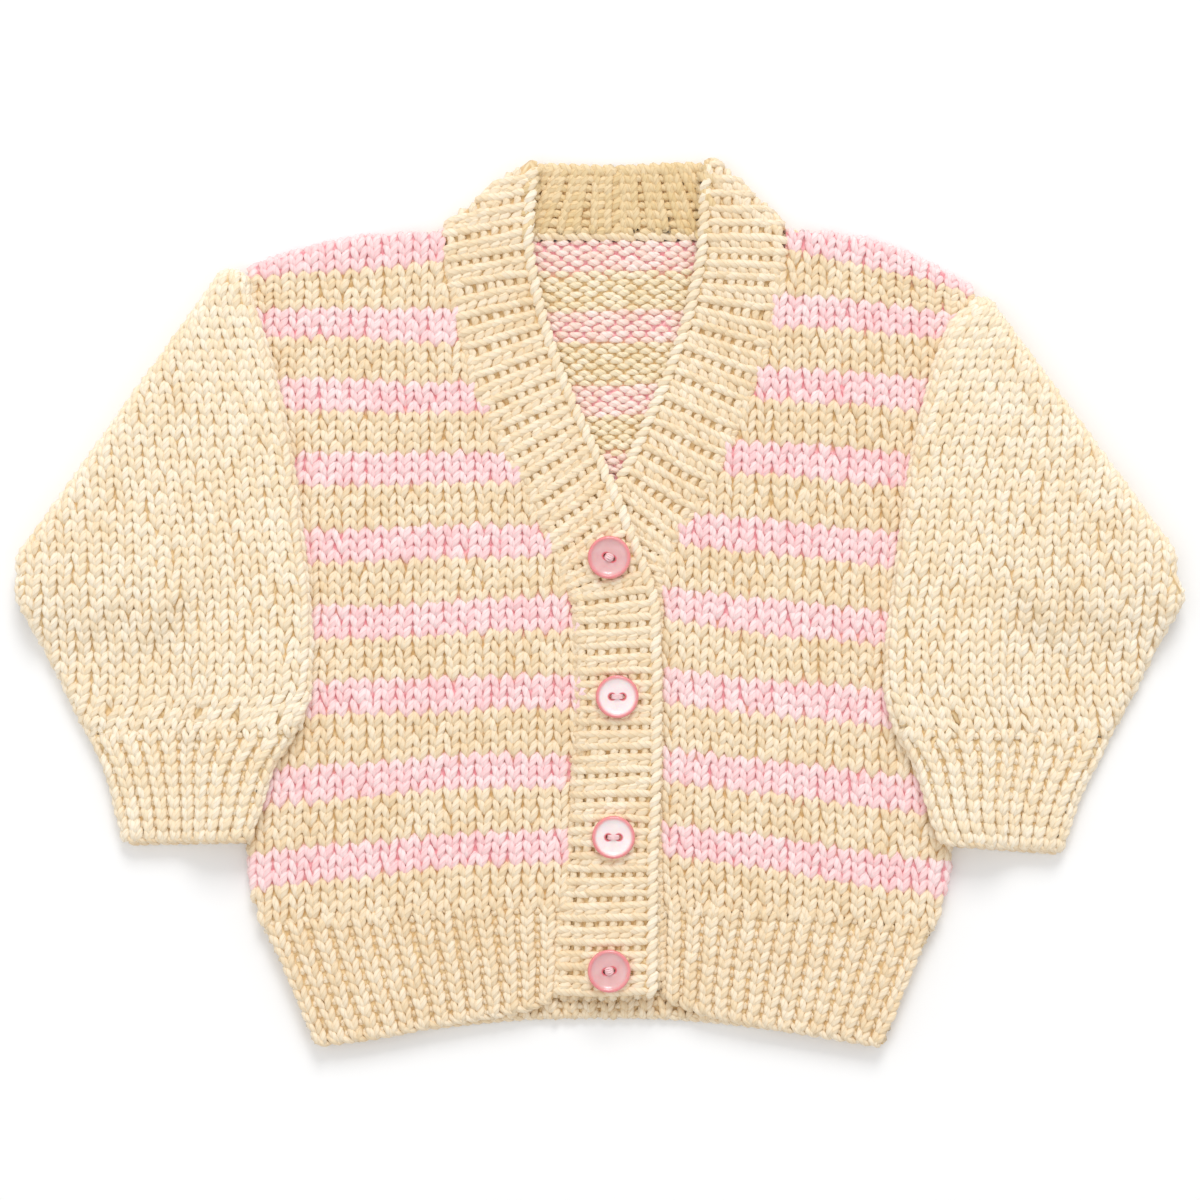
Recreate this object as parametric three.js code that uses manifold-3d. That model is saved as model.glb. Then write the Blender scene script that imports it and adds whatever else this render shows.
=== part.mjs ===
// A hand-knitted baby cardigan, laid flat on its back with both sleeves folded down over the fronts.
// Millimetres. The cloth lies in the XY plane, the neck towards +Y, +Z up from the surface it lies on.
// "across" is measured from the centre line towards the wearer's left, "up" from the lowest hem corner.
import * as THREE from "three";
import { mergeVertices } from "three/addons/utils/BufferGeometryUtils.js";
import Module from "manifold-3d";

const wasm = await Module();
wasm.setup();

// The knitting
const WALL = 2.6; // stocking stitch, back to face
const RIB_WALL = 2.4; // ribbing, at the bottom of its furrows
const RIB_RAISE = 0.8; // how far a rib stands above its furrow
const SEAM_GAP = 0.35; // pieces are this far apart at a seam
const SEAM_CLEAR = 0.42; // the same, measured across where the seam slants
const LAYER_GAP = 0.3; // one layer lies this far above the next
const TUBE_GAP = 0.4; // between the two layers of a flattened sleeve
const FOLD_GAP = 0.4; // between a folded sleeve's lower and upper halves
const EDGE = 1.1; // an edge is rounded over this distance
const EDGE_SHARE = 0.5; // and is this share of the wall's thickness at its rim
const CENTRE_UP = 156; // half of the garment's length: the origin is at its middle

// How each layer lies: heights of its middle above the surface
const BACK_MIDDLE = WALL / 2;
const FRONT_UNDER = WALL + LAYER_GAP; // the lower face of what lies on the back
const FRONT_MIDDLE = FRONT_UNDER + WALL / 2;
const RIB_MIDDLE = FRONT_UNDER + RIB_WALL / 2;
const BAND_LIFT = RIB_WALL + RIB_RAISE + LAYER_GAP; // the top band rises by this over the band below it
const TUBE_HALF = WALL + TUBE_GAP / 2; // half the thickness of a flattened sleeve
const FOLDED_UNDER = 2 * TUBE_HALF + FOLD_GAP; // the lower face of a sleeve's upper half

// The right front's stations, from the welt to the shoulder: where each crosses the side and the band's seam.
// bow is how far it arches up between them.
const RIGHT_FRONT = [
  { side: -118.3, sideUp: 43.0, edge: -14.0, edgeUp: 50.0, bow: 0 },
  { side: -122.3, sideUp: 58.5, edge: -11.2, edgeUp: 66.2, bow: 0 },
  { side: -122.5, sideUp: 86.5, edge: -9.1, edgeUp: 93.5, bow: 0 },
  { side: -122.5, sideUp: 121.5, edge: -8.1, edgeUp: 125.0, bow: 0 },
  { side: -122.5, sideUp: 156.5, edge: -9.1, edgeUp: 159.3, bow: 0 },
  { side: -122.5, sideUp: 174.0, edge: -18.2, edgeUp: 177.5, bow: 0 },
  { side: -122.5, sideUp: 191.5, edge: -26.3, edgeUp: 195.0, bow: 0 },
  { side: -122.5, sideUp: 209.0, edge: -35.0, edgeUp: 211.5, bow: 0 },
  { side: -122.5, sideUp: 226.5, edge: -43.0, edgeUp: 228.2, bow: 0 },
  { side: -122.5, sideUp: 247.5, edge: -48.7, edgeUp: 249.2, bow: 0 },
  { side: -122.5, sideUp: 261.5, edge: -52.2, edgeUp: 267.0, bow: 1.6 },
  { side: -122.3, sideUp: 272.8, edge: -55.7, edgeUp: 284.6, bow: 3.8 },
];

// The left front's stations
const LEFT_FRONT = [
  { side: 116.6, sideUp: 42.0, edge: 22.6, edgeUp: 50.0, bow: 0 },
  { side: 121.8, sideUp: 58.5, edge: 21.4, edgeUp: 65.5, bow: 0 },
  { side: 122.6, sideUp: 86.5, edge: 21.6, edgeUp: 93.5, bow: 0 },
  { side: 122.6, sideUp: 121.5, edge: 21.7, edgeUp: 125.0, bow: 0 },
  { side: 122.6, sideUp: 156.5, edge: 21.7, edgeUp: 159.3, bow: 0 },
  { side: 123.1, sideUp: 174.0, edge: 26.5, edgeUp: 176.2, bow: 0 },
  { side: 124.6, sideUp: 191.5, edge: 36.0, edgeUp: 191.5, bow: 0 },
  { side: 126.1, sideUp: 209.0, edge: 44.8, edgeUp: 209.0, bow: 0 },
  { side: 127.6, sideUp: 226.5, edge: 51.8, edgeUp: 226.5, bow: 0 },
  { side: 129.3, sideUp: 245.7, edge: 58.8, edgeUp: 245.7, bow: 0.8 },
  { side: 130.3, sideUp: 257.0, edge: 62.3, edgeUp: 263.2, bow: 2.8 },
  { side: 131.1, sideUp: 265.0, edge: 65.1, edgeUp: 285.4, bow: 6.0 },
];

// The welts' side edges, from the hem to the top of the ribbing
const WELT_SIDES = [
  { up: 0.7, right: -100.1, left: 99.4 },
  { up: 6.0, right: -102.2, left: 101.2 },
  { up: 16.5, right: -105.7, left: 104.3 },
  { up: 27.0, right: -109.6, left: 108.6 },
  { up: 37.5, right: -114.8, left: 114.0 },
  { up: 42.6, right: -118.0, left: 116.4 },
];

// The hem lines: the back hangs straight, and the bands draw the fronts up at the centre
const BACK_HEM = [
  { across: -100.1, up: 0.7 },
  { across: -70, up: 5.4 },
  { across: -35, up: 9.6 },
  { across: 0, up: 10.5 },
  { across: 35, up: 9.4 },
  { across: 70, up: 5.0 },
  { across: 99.4, up: 0.5 },
];
const RIGHT_HEM = [
  { across: -100.1, up: 0.7 },
  { across: -77, up: 3.6 },
  { across: -56, up: 7.7 },
  { across: -35, up: 11.0 },
  { across: -24.5, up: 13.2 },
  { across: -16, up: 16.4 },
];
const LEFT_HEM = [
  { across: 23, up: 16.4 },
  { across: 35, up: 11.9 },
  { across: 49, up: 8.8 },
  { across: 63, up: 6.3 },
  { across: 77, up: 3.9 },
  { across: 99.4, up: 0.5 },
];

// The back's upper edge: right shoulder, back neck and left shoulder
const BACK_TOP = [
  { across: -122.3, up: 272.8 },
  { across: -105, up: 279.4 },
  { across: -89, up: 282.0 },
  { across: -55.7, up: 284.6 },
  { across: -40, up: 283.0 },
  { across: 5, up: 282.6 },
  { across: 50, up: 283.2 },
  { across: 65.1, up: 285.4 },
  { across: 98, up: 280.8 },
  { across: 115, up: 274.6 },
  { across: 131.1, up: 265.0 },
];

// The buttonhole band, on the right front: its seam and its free edge from the hem to the centre of the
// back neck. ribs is the number of ribs up to there. turn is 0 where it lies face up, and 180 where it has
// turned over the shoulder to lie behind the neck.
const BUTTONHOLE_BAND = [
  { seam: -15.4, seamUp: 17.2, edge: 19.6, edgeUp: 18.0, ribs: 0, turn: 0 },
  { seam: -14.4, seamUp: 34.0, edge: 19.4, edgeUp: 34.0, ribs: 1.9, turn: 0 },
  { seam: -12.8, seamUp: 50.0, edge: 19.4, edgeUp: 50.0, ribs: 3.8, turn: 0 },
  { seam: -10.5, seamUp: 66.5, edge: 19.5, edgeUp: 66.5, ribs: 5.7, turn: 0 },
  { seam: -8.6, seamUp: 93.0, edge: 20.6, edgeUp: 93.4, ribs: 8.8, turn: 0 },
  { seam: -7.6, seamUp: 124.0, edge: 20.8, edgeUp: 124.0, ribs: 12.4, turn: 0 },
  { seam: -8.0, seamUp: 142.0, edge: 20.4, edgeUp: 142.5, ribs: 14.4, turn: 0 },
  { seam: -8.4, seamUp: 155.0, edge: 19.3, edgeUp: 157.8, ribs: 16.0, turn: 0 },
  { seam: -11.9, seamUp: 164.0, edge: 12.6, edgeUp: 177.0, ribs: 17.8, turn: 0 },
  { seam: -17.7, seamUp: 177.9, edge: 6.0, edgeUp: 194.0, ribs: 19.7, turn: 0 },
  { seam: -25.8, seamUp: 195.4, edge: -2.0, edgeUp: 211.1, ribs: 21.8, turn: 0 },
  { seam: -34.5, seamUp: 211.9, edge: -8.6, edgeUp: 225.6, ribs: 23.8, turn: 0 },
  { seam: -42.5, seamUp: 228.6, edge: -14.4, edgeUp: 240.4, ribs: 25.7, turn: 0 },
  { seam: -48.2, seamUp: 249.5, edge: -19.5, edgeUp: 257.2, ribs: 27.7, turn: 0 },
  { seam: -51.7, seamUp: 267.4, edge: -22.8, edgeUp: 273.1, ribs: 29.4, turn: 0 },
  { seam: -54.0, seamUp: 279.0, edge: -24.0, edgeUp: 287.0, ribs: 30.7, turn: 0 },
  { seam: -54.6, seamUp: 284.2, edge: -21.6, edgeUp: 308.0, ribs: 32.2, turn: 0 },
  { seam: -54.6, seamUp: 284.2, edge: -21.6, edgeUp: 308.0, ribs: 32.7, turn: 90 },
  { seam: -54.6, seamUp: 284.2, edge: -21.6, edgeUp: 308.0, ribs: 33.2, turn: 180 },
  { seam: -38.0, seamUp: 284.4, edge: -18.0, edgeUp: 308.6, ribs: 34.4, turn: 180 },
  { seam: -18.0, seamUp: 283.9, edge: -10.0, edgeUp: 308.4, ribs: 36.0, turn: 180 },
  { seam: 5.8, seamUp: 283.6, edge: 5.8, edgeUp: 307.8, ribs: 38.0, turn: 180 },
];

// The button band, on the left front, which passes under the other from the hem to the foot of the neck
const BUTTON_BAND = [
  { seam: 21.9, seamUp: 21.0, edge: -3.5, edgeUp: 21.0, ribs: 0, turn: 0 },
  { seam: 21.2, seamUp: 34.0, edge: -3.5, edgeUp: 34.0, ribs: 1.5, turn: 0 },
  { seam: 20.9, seamUp: 50.0, edge: -3.6, edgeUp: 50.0, ribs: 3.4, turn: 0 },
  { seam: 20.8, seamUp: 66.0, edge: -3.6, edgeUp: 66.0, ribs: 5.2, turn: 0 },
  { seam: 21.0, seamUp: 93.0, edge: -3.0, edgeUp: 93.0, ribs: 8.4, turn: 0 },
  { seam: 21.1, seamUp: 124.0, edge: -2.6, edgeUp: 124.0, ribs: 12.0, turn: 0 },
  { seam: 21.0, seamUp: 160.0, edge: -2.8, edgeUp: 162.3, ribs: 16.3, turn: 0 },
  { seam: 25.8, seamUp: 176.8, edge: 4.0, edgeUp: 192.9, ribs: 19.0, turn: 0 },
  { seam: 35.4, seamUp: 192.0, edge: 9.9, edgeUp: 206.0, ribs: 20.6, turn: 0 },
  { seam: 44.2, seamUp: 209.4, edge: 16.6, edgeUp: 221.3, ribs: 22.4, turn: 0 },
  { seam: 51.2, seamUp: 226.9, edge: 23.9, edgeUp: 238.4, ribs: 24.3, turn: 0 },
  { seam: 58.2, seamUp: 246.1, edge: 29.2, edgeUp: 254.2, ribs: 26.2, turn: 0 },
  { seam: 61.7, seamUp: 264.0, edge: 32.0, edgeUp: 266.1, ribs: 27.7, turn: 0 },
  { seam: 63.6, seamUp: 277.0, edge: 34.5, edgeUp: 282.0, ribs: 29.2, turn: 0 },
  { seam: 64.0, seamUp: 285.0, edge: 36.0, edgeUp: 308.6, ribs: 30.9, turn: 0 },
  { seam: 64.0, seamUp: 285.0, edge: 36.0, edgeUp: 308.6, ribs: 31.4, turn: 90 },
  { seam: 64.0, seamUp: 285.0, edge: 36.0, edgeUp: 308.6, ribs: 31.9, turn: 180 },
  { seam: 50.0, seamUp: 284.4, edge: 31.0, edgeUp: 309.0, ribs: 33.0, turn: 180 },
  { seam: 30.0, seamUp: 284.0, edge: 22.0, edgeUp: 308.6, ribs: 34.7, turn: 180 },
  { seam: 6.2, seamUp: 283.6, edge: 6.2, edgeUp: 307.8, ribs: 37.0, turn: 180 },
];

// The sleeves' rings, from the armhole to the top of the cuff. Each is a flattened tube between its top fold
// and its underarm. turn is 0 in the lower half, and 180 where the sleeve has folded over to lie on itself and
// on the front.
const RIGHT_SLEEVE = [
  { top: -122.85, topUp: 268.1, under: -122.85, underUp: 167.0, turn: 0 },
  { top: -124.0, topUp: 268.6, under: -157.0, underUp: 166.8, turn: 0 },
  { top: -125.0, topUp: 269.0, under: -184.0, underUp: 166.5, turn: 0 },
  { top: -125.6, topUp: 269.2, under: -199.5, underUp: 166.3, turn: 0 },
  { top: -125.6, topUp: 269.2, under: -199.5, underUp: 166.3, turn: 90 },
  { top: -125.6, topUp: 269.2, under: -202.4, underUp: 164.2, turn: 180 },
  { top: -123.2, topUp: 262.8, under: -203.6, underUp: 161.4, turn: 180 },
  { top: -119.7, topUp: 252.8, under: -203.2, underUp: 157.5, turn: 180 },
  { top: -115.5, topUp: 239.8, under: -200.6, underUp: 152.3, turn: 180 },
  { top: -111.6, topUp: 223.7, under: -197.4, underUp: 146.0, turn: 180 },
  { top: -108.1, topUp: 204.8, under: -193.9, underUp: 139.0, turn: 180 },
  { top: -105.3, topUp: 184.5, under: -190.4, underUp: 132.0, turn: 180 },
  { top: -102.9, topUp: 163.5, under: -186.9, underUp: 125.0, turn: 180 },
  { top: -101.2, topUp: 140.7, under: -183.0, underUp: 117.3, turn: 180 },
  { top: -101.9, topUp: 123.2, under: -180.6, underUp: 112.0, turn: 180 },
  { top: -105.0, topUp: 112.4, under: -179.0, underUp: 109.5, turn: 180 },
];
const LEFT_SLEEVE = [
  { top: 131.8, topUp: 261.1, under: 123.3, underUp: 167.0, turn: 0 },
  { top: 131.4, topUp: 260.8, under: 157.0, underUp: 166.8, turn: 0 },
  { top: 130.6, topUp: 260.0, under: 182.0, underUp: 166.8, turn: 0 },
  { top: 129.9, topUp: 259.0, under: 196.4, underUp: 168.4, turn: 0 },
  { top: 129.9, topUp: 259.0, under: 196.4, underUp: 168.4, turn: 90 },
  { top: 129.9, topUp: 259.0, under: 200.4, underUp: 164.2, turn: 180 },
  { top: 127.8, topUp: 257.2, under: 203.4, underUp: 158.6, turn: 180 },
  { top: 123.2, topUp: 253.2, under: 202.7, underUp: 155.8, turn: 180 },
  { top: 118.0, topUp: 240.5, under: 200.2, underUp: 151.2, turn: 180 },
  { top: 114.0, topUp: 224.5, under: 197.1, underUp: 145.2, turn: 180 },
  { top: 109.9, topUp: 207.2, under: 193.6, underUp: 138.2, turn: 180 },
  { top: 106.7, topUp: 188.0, under: 190.1, underUp: 131.2, turn: 180 },
  { top: 104.0, topUp: 167.0, under: 186.6, underUp: 124.2, turn: 180 },
  { top: 101.2, topUp: 144.2, under: 182.7, underUp: 116.9, turn: 180 },
  { top: 100.1, topUp: 125.0, under: 179.2, underUp: 110.6, turn: 180 },
  { top: 102.9, topUp: 112.4, under: 177.8, underUp: 108.4, turn: 180 },
];

// The cuffs' rings, from the sleeve's gathered end to the cast-on edge
const RIGHT_CUFF = [
  { top: -105.2, topUp: 112.0, under: -178.8, underUp: 109.1, turn: 180 },
  { top: -110.3, topUp: 105.7, under: -176.8, underUp: 105.4, turn: 180 },
  { top: -114.8, topUp: 98.7, under: -173.6, underUp: 99.4, turn: 180 },
  { top: -117.3, topUp: 90.0, under: -170.8, underUp: 90.7, turn: 180 },
  { top: -119.4, topUp: 81.2, under: -168.7, underUp: 81.2, turn: 180 },
  { top: -122.5, topUp: 72.5, under: -166.6, underUp: 71.8, turn: 180 },
];
const LEFT_CUFF = [
  { top: 103.1, topUp: 112.0, under: 177.6, underUp: 108.0, turn: 180 },
  { top: 107.8, topUp: 104.7, under: 175.0, underUp: 101.9, turn: 180 },
  { top: 111.3, topUp: 97.7, under: 171.5, underUp: 95.9, turn: 180 },
  { top: 113.8, topUp: 88.9, under: 167.7, underUp: 88.2, turn: 180 },
  { top: 115.9, topUp: 80.2, under: 164.5, underUp: 79.1, turn: 180 },
  { top: 119.0, topUp: 71.4, under: 161.4, underUp: 68.6, turn: 180 },
];

// Ribs on the pieces whose ribs are evenly spaced
const FRONT_WELT_RIBS = 14;
const CUFF_RIBS = 9; // on the face of a cuff, and as many behind

// How finely each form is drawn
const RIB_POINTS = 3; // points that draw one rib
const BACK_STEPS = { across: 12, along: 12 };
const BACK_WELT_STEPS = { across: 16, along: 3 };
const FRONT_STEPS = { across: 5, along: 19 };
const WELT_STEPS = 2; // from the hem to the top of a welt
const TUBE_STEPS = 7; // across a sleeve
const FOLD_STEPS = 6; // round a sleeve's fold
const ROW_STEPS = 40; // when a place is looked for between two rows of a table

// About how wide and long the flat pieces are, which sets how far in their rims reach
const BACK_SIZE = { across: 245, along: 235 };
const BACK_WELT_SIZE = { across: 210, along: 36 };
const FRONT_SIZE = { across: 100, along: 235 };
const BAND_WIDTH = 30;

// The buttons
const BUTTON = { radius: 7.5, thick: 2.8, rimWidth: 1.3, dish: 0.8, holeRadius: 0.9, holeSpacing: 4 };
const BUTTON_BEVEL = 1.2; // at the edge of its back
const BUTTON_SLOPE = 0.9; // from its rim down to its dished face
const BUTTON_SIDES = 24;
const HOLE_SIDES = 8;
const BUTTONS = [
  { across: 3.2, up: 171.2, turn: -35 },
  { across: 6.0, up: 122.7, turn: 0 },
  { across: 4.7, up: 73.7, turn: 0 },
  { across: 3.2, up: 27.1, turn: 25 },
];

const CREAM = new THREE.MeshStandardMaterial({ color: 0xf4e2bd, roughness: 0.92, metalness: 0 });
const STRIPED = new THREE.MeshStandardMaterial({ color: 0xf5d9c4, roughness: 0.92, metalness: 0 });
const PINK_PLASTIC = new THREE.MeshStandardMaterial({ color: 0xeba6a8, roughness: 0.25, metalness: 0 });

const garment = new THREE.Group();
garment.position.y = -CENTRE_UP;

const mix = (a, b, share) => a + (b - a) * share;
const ramp = (from, to, value) => THREE.MathUtils.smoothstep(value, from, to);
const spaced = (count) => Array.from({ length: count + 1 }, (_, i) => i / count);

// A table's columns at a place between its rows, on a smooth curve through them
function stationAt(table, place) {
  const row = Math.min(Math.max(Math.floor(place), 0), table.length - 2);
  const share = place - row;
  const near = (step) => table[Math.min(Math.max(row + step, 0), table.length - 1)];
  const station = {};
  for (const column of Object.keys(table[0])) {
    const [before, from, to, after] = [-1, 0, 1, 2].map((step) => near(step)[column]);
    const bend = (to - before) * share * (1 - share) ** 2 - (after - from) * share ** 2 * (1 - share);
    const ease = share * share * (3 - 2 * share);
    station[column] = column === "turn" ? mix(from, to, share) : mix(from, to, ease) + bend / 2;
  }
  return station;
}

// The value of one column where another has a given value
function lookUp(table, column, value, wanted) {
  const next = table.findIndex((row, i) => i > 0 && value <= row[column]);
  const i = next < 0 ? table.length - 1 : next;
  const share = (value - table[i - 1][column]) / (table[i][column] - table[i - 1][column]);
  return stationAt(table, i - 1 + THREE.MathUtils.clamp(share, 0, 1))[wanted];
}

// Places along a band, evenly spaced from rib to rib, with the number of ribs up to each
function ribPlaces(table) {
  const last = table.length - 1;
  const places = spaced(ROW_STEPS * last).map((share) => share * last);
  const counts = places.map((place) => stationAt(table, place).ribs);
  const total = counts[counts.length - 1];
  return spaced(RIB_POINTS * total).map((share) => {
    const ribs = share * total;
    const i = Math.max(1, counts.findIndex((count) => count >= ribs));
    const part = (ribs - counts[i - 1]) / (counts[i] - counts[i - 1]);
    return { ribs, place: mix(places[i - 1], places[i], part), isEnd: share === 0 || share === 1 };
  });
}

// Places across a sheet: its rounded edges and even ones between
const placesAcross = (width, count) => {
  const edge = EDGE / width;
  return [0, ...spaced(count).map((share) => mix(edge, 1 - edge, share)), 1];
};

// The share of the wall's thickness at a place across a sheet: less at its rims
const rimShare = (share) => (share <= 0 || share >= 1 ? EDGE_SHARE : 1);

// How far the face is raised after a number of ribs: furrows lie at whole numbers, and ribs half-way between
const ribRaise = (ribs) => RIB_RAISE * (0.5 - 0.5 * Math.cos(2 * Math.PI * ribs));

// One closed wall between two grids of points. A tube's rows are rings: their last point joins their first.
function wall(name, outer, inner, material, isTube = false) {
  const rows = outer.length;
  const columns = outer[0].length;
  const positions = [...outer.flat(), ...inner.flat()].flatMap((point) => point.toArray());
  const corner = (side, row, column) => (side * rows + row) * columns + (column % columns);
  const index = [];
  const quad = (a, b, c, d) => index.push(a, b, c, a, c, d);
  const across = isTube ? columns : columns - 1;
  for (let row = 0; row < rows - 1; row++) {
    for (let column = 0; column < across; column++) {
      const [a, b, c, d] = [[0, 0], [0, 1], [1, 1], [1, 0]].map(([r, k]) => [row + r, column + k]);
      quad(corner(0, ...a), corner(0, ...b), corner(0, ...c), corner(0, ...d));
      quad(corner(1, ...a), corner(1, ...d), corner(1, ...c), corner(1, ...b));
    }
  }
  // A rim joins the two grids between neighbouring points of an edge
  const rim = (from, to) => quad(corner(0, ...from), corner(1, ...from), corner(1, ...to), corner(0, ...to));
  const lastRow = rows - 1;
  for (let column = 0; column < across; column++) {
    rim([0, column], [0, column + 1]);
    rim([lastRow, column + 1], [lastRow, column]);
  }
  const lastColumn = columns - 1;
  for (let row = 0; row < lastRow && !isTube; row++) {
    rim([row + 1, 0], [row, 0]);
    rim([row, lastColumn], [row + 1, lastColumn]);
  }
  const geometry = new THREE.BufferGeometry();
  geometry.setAttribute("position", new THREE.Float32BufferAttribute(positions, 3));
  geometry.setIndex(index);
  addFacingOut(name, geometry, material);
}

// Adds a mesh, with its faces turned to point out
function addFacingOut(name, geometry, material) {
  const position = geometry.getAttribute("position");
  const index = geometry.getIndex().array;
  const [a, b, c] = [new THREE.Vector3(), new THREE.Vector3(), new THREE.Vector3()];
  let volume = 0;
  for (let i = 0; i < index.length; i += 3) {
    [a, b, c].forEach((point, k) => point.fromBufferAttribute(position, index[i + k]));
    volume += a.dot(b.cross(c));
  }
  if (volume < 0) geometry.setIndex(Array.from(index).reverse());
  geometry.computeVertexNormals();
  const mesh = new THREE.Mesh(geometry, material);
  mesh.name = name;
  garment.add(mesh);
}

// A flat sheet: pointAt gives its plan at (share across, share along), and raiseAt its raised form there.
// It returns the edge that is sewn to a band, as places on the surface.
function sheet(name, pointAt, middle, thickness, across, along, material, raiseAt = () => 0) {
  const outer = [];
  const inner = [];
  for (const v of along) {
    const rowOuter = [];
    const rowInner = [];
    for (const u of across) {
      const [x, y] = pointAt(u, v);
      const half = (thickness / 2) * Math.min(rimShare(u), rimShare(v));
      const raise = rimShare(u) * rimShare(v) === 1 ? raiseAt(u, v) : 0;
      rowOuter.push(new THREE.Vector3(x, y, middle + half + raise));
      rowInner.push(new THREE.Vector3(x, y, middle - half));
    }
    outer.push(rowOuter);
    inner.push(rowInner);
  }
  wall(name, outer, inner, material);
  return along.map((v) => pointAt(1, v)).map(([x, y]) => ({ across: x, up: y }));
}

// The back: its underside is flat on the surface, so only its upper face is rounded at the rims
function back() {
  const sideTable = (table) => table.map((row) => ({ up: row.sideUp, across: row.side }));
  const [right, left] = [sideTable(RIGHT_FRONT), sideTable(LEFT_FRONT)];
  const outer = [];
  const inner = [];
  const [lowest, highest] = [RIGHT_FRONT[0].sideUp, RIGHT_FRONT[RIGHT_FRONT.length - 1].sideUp];
  for (const v of placesAcross(BACK_SIZE.along, BACK_STEPS.along)) {
    const rowOuter = [];
    const rowInner = [];
    for (const u of placesAcross(BACK_SIZE.across, BACK_STEPS.across)) {
      const level = mix(lowest, highest, v);
      const x = mix(lookUp(right, "up", level, "across"), lookUp(left, "up", level, "across"), u);
      const y = mix(weltTop(u) + SEAM_GAP, lookUp(BACK_TOP, "across", x, "up"), v);
      rowOuter.push(new THREE.Vector3(x, y, 0));
      rowInner.push(new THREE.Vector3(x, y, WALL * Math.min(rimShare(u), rimShare(v))));
    }
    outer.push(rowOuter);
    inner.push(rowInner);
  }
  wall("back", outer, inner, STRIPED);
}

// The top of the back's welt sags a little less at the centre
const WELT_BOW = 4;
const arch = (share) => Math.sin(Math.PI * share);
const weltTop = (share) => mix(RIGHT_FRONT[0].sideUp, LEFT_FRONT[0].sideUp, share) + WELT_BOW * arch(share);

function backWelt() {
  const outer = [];
  const inner = [];
  for (const v of placesAcross(BACK_WELT_SIZE.along, BACK_WELT_STEPS.along)) {
    const rowOuter = [];
    const rowInner = [];
    for (const u of placesAcross(BACK_WELT_SIZE.across, BACK_WELT_STEPS.across)) {
      const sides = stationAt(WELT_SIDES, v * (WELT_SIDES.length - 1));
      const x = mix(sides.right, sides.left, u);
      const hem = lookUp(BACK_HEM, "across", mix(WELT_SIDES[0].right, WELT_SIDES[0].left, u), "up");
      const y = mix(hem, weltTop(u), v);
      rowOuter.push(new THREE.Vector3(x, y, 0));
      rowInner.push(new THREE.Vector3(x, y, RIB_WALL * Math.min(rimShare(u), rimShare(v))));
    }
    outer.push(rowOuter);
    inner.push(rowInner);
  }
  wall("back_welt", outer, inner, CREAM);
}

function front(name, table) {
  const last = table.length - 1;
  const pointAt = (u, v) => {
    const station = stationAt(table, v * last);
    const up = mix(station.sideUp, station.edgeUp, u) + station.bow * arch(u);
    return [mix(station.side, station.edge, u), up];
  };
  const across = placesAcross(FRONT_SIZE.across, FRONT_STEPS.across);
  const along = placesAcross(FRONT_SIZE.along, FRONT_STEPS.along);
  return sheet(name, pointAt, FRONT_MIDDLE, WALL, across, along, STRIPED);
}

function frontWelt(name, table, hem, side) {
  const outward = side === "right" ? -1 : 1;
  const hemEnds = [hem[0].across, hem[hem.length - 1].across];
  const [start, end] = side === "right" ? hemEnds : hemEnds.reverse();
  const topSeam = table[0];
  const pointAt = (u, v) => {
    const sideX = stationAt(WELT_SIDES, v * (WELT_SIDES.length - 1))[side];
    const edgeX = mix(end, topSeam.edge + outward * SEAM_GAP * 0.5, v);
    const hemUp = lookUp(hem, "across", mix(start, end, u), "up");
    const topUp = mix(topSeam.sideUp, topSeam.edgeUp, u) - SEAM_GAP;
    return [mix(sideX, edgeX, u), mix(hemUp, topUp, v)];
  };
  const across = placesAcross(FRONT_SIZE.across, RIB_POINTS * FRONT_WELT_RIBS);
  const along = placesAcross(BACK_WELT_SIZE.along, WELT_STEPS);
  const raiseAt = (u) => ribRaise(u * FRONT_WELT_RIBS);
  return sheet(name, pointAt, RIB_MIDDLE, RIB_WALL, across, along, CREAM, raiseAt);
}

// Where a front's sewn edge lies at a height, along its straight facets
function sewnEdge(edge, up) {
  const next = edge.findIndex((point, i) => i > 0 && up <= point.up);
  if (next < 0) return edge[edge.length - 1].across;
  const [from, to] = [edge[next - 1], edge[next]];
  return mix(from.across, to.across, (up - from.up) / (to.up - from.up));
}

// Where the button band's free edge lies at a height, so that the other band can rise over it
const CROSSED_ROWS = 12; // the rows of the button band from its hem that the other band can cross
const underBandEdge = (up) => lookUp(BUTTON_BAND.slice(0, CROSSED_ROWS), "edgeUp", up, "edge");
const RISE_WIDTH = 5.4; // the upper band rises over this width
const RISE_CLEAR = 0.6; // and is up this far before the lower band's edge
const RISE_LIMITS = { foot: 0.8, head: 0.9 }; // shares of the band's width, so that its rim stays beyond them
const NECK_ROLL = 2.6; // how far the bands stand up where they turn over the shoulders
const ROLL_ROWS = 3.5; // rows of a band's table over which it comes to stand up
const TURNED_OVER = 150; // a band faces down from this turn on

// Places across a band's row, with one at the foot and one at the head of its rise over the other band
function bandPlaces({ seam, seamUp, edge, edgeUp, turn }) {
  const rim = EDGE / Math.hypot(edge - seam, edgeUp - seamUp);
  if (turn > 0) return [0, rim, 1 / 3, 2 / 3, 1 - rim, 1];
  const free = underBandEdge(mix(seamUp, edgeUp, (underBandEdge(seamUp) - seam) / (edge - seam)));
  const [foot, head] = [free - RISE_WIDTH, free - 1.5 * RISE_CLEAR].map((x) => (x - seam) / (edge - seam));
  const first = THREE.MathUtils.clamp(foot, 2 * rim, RISE_LIMITS.foot);
  return [0, rim, first, THREE.MathUtils.clamp(head, first + rim, RISE_LIMITS.head), 1 - rim, 1];
}

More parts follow.
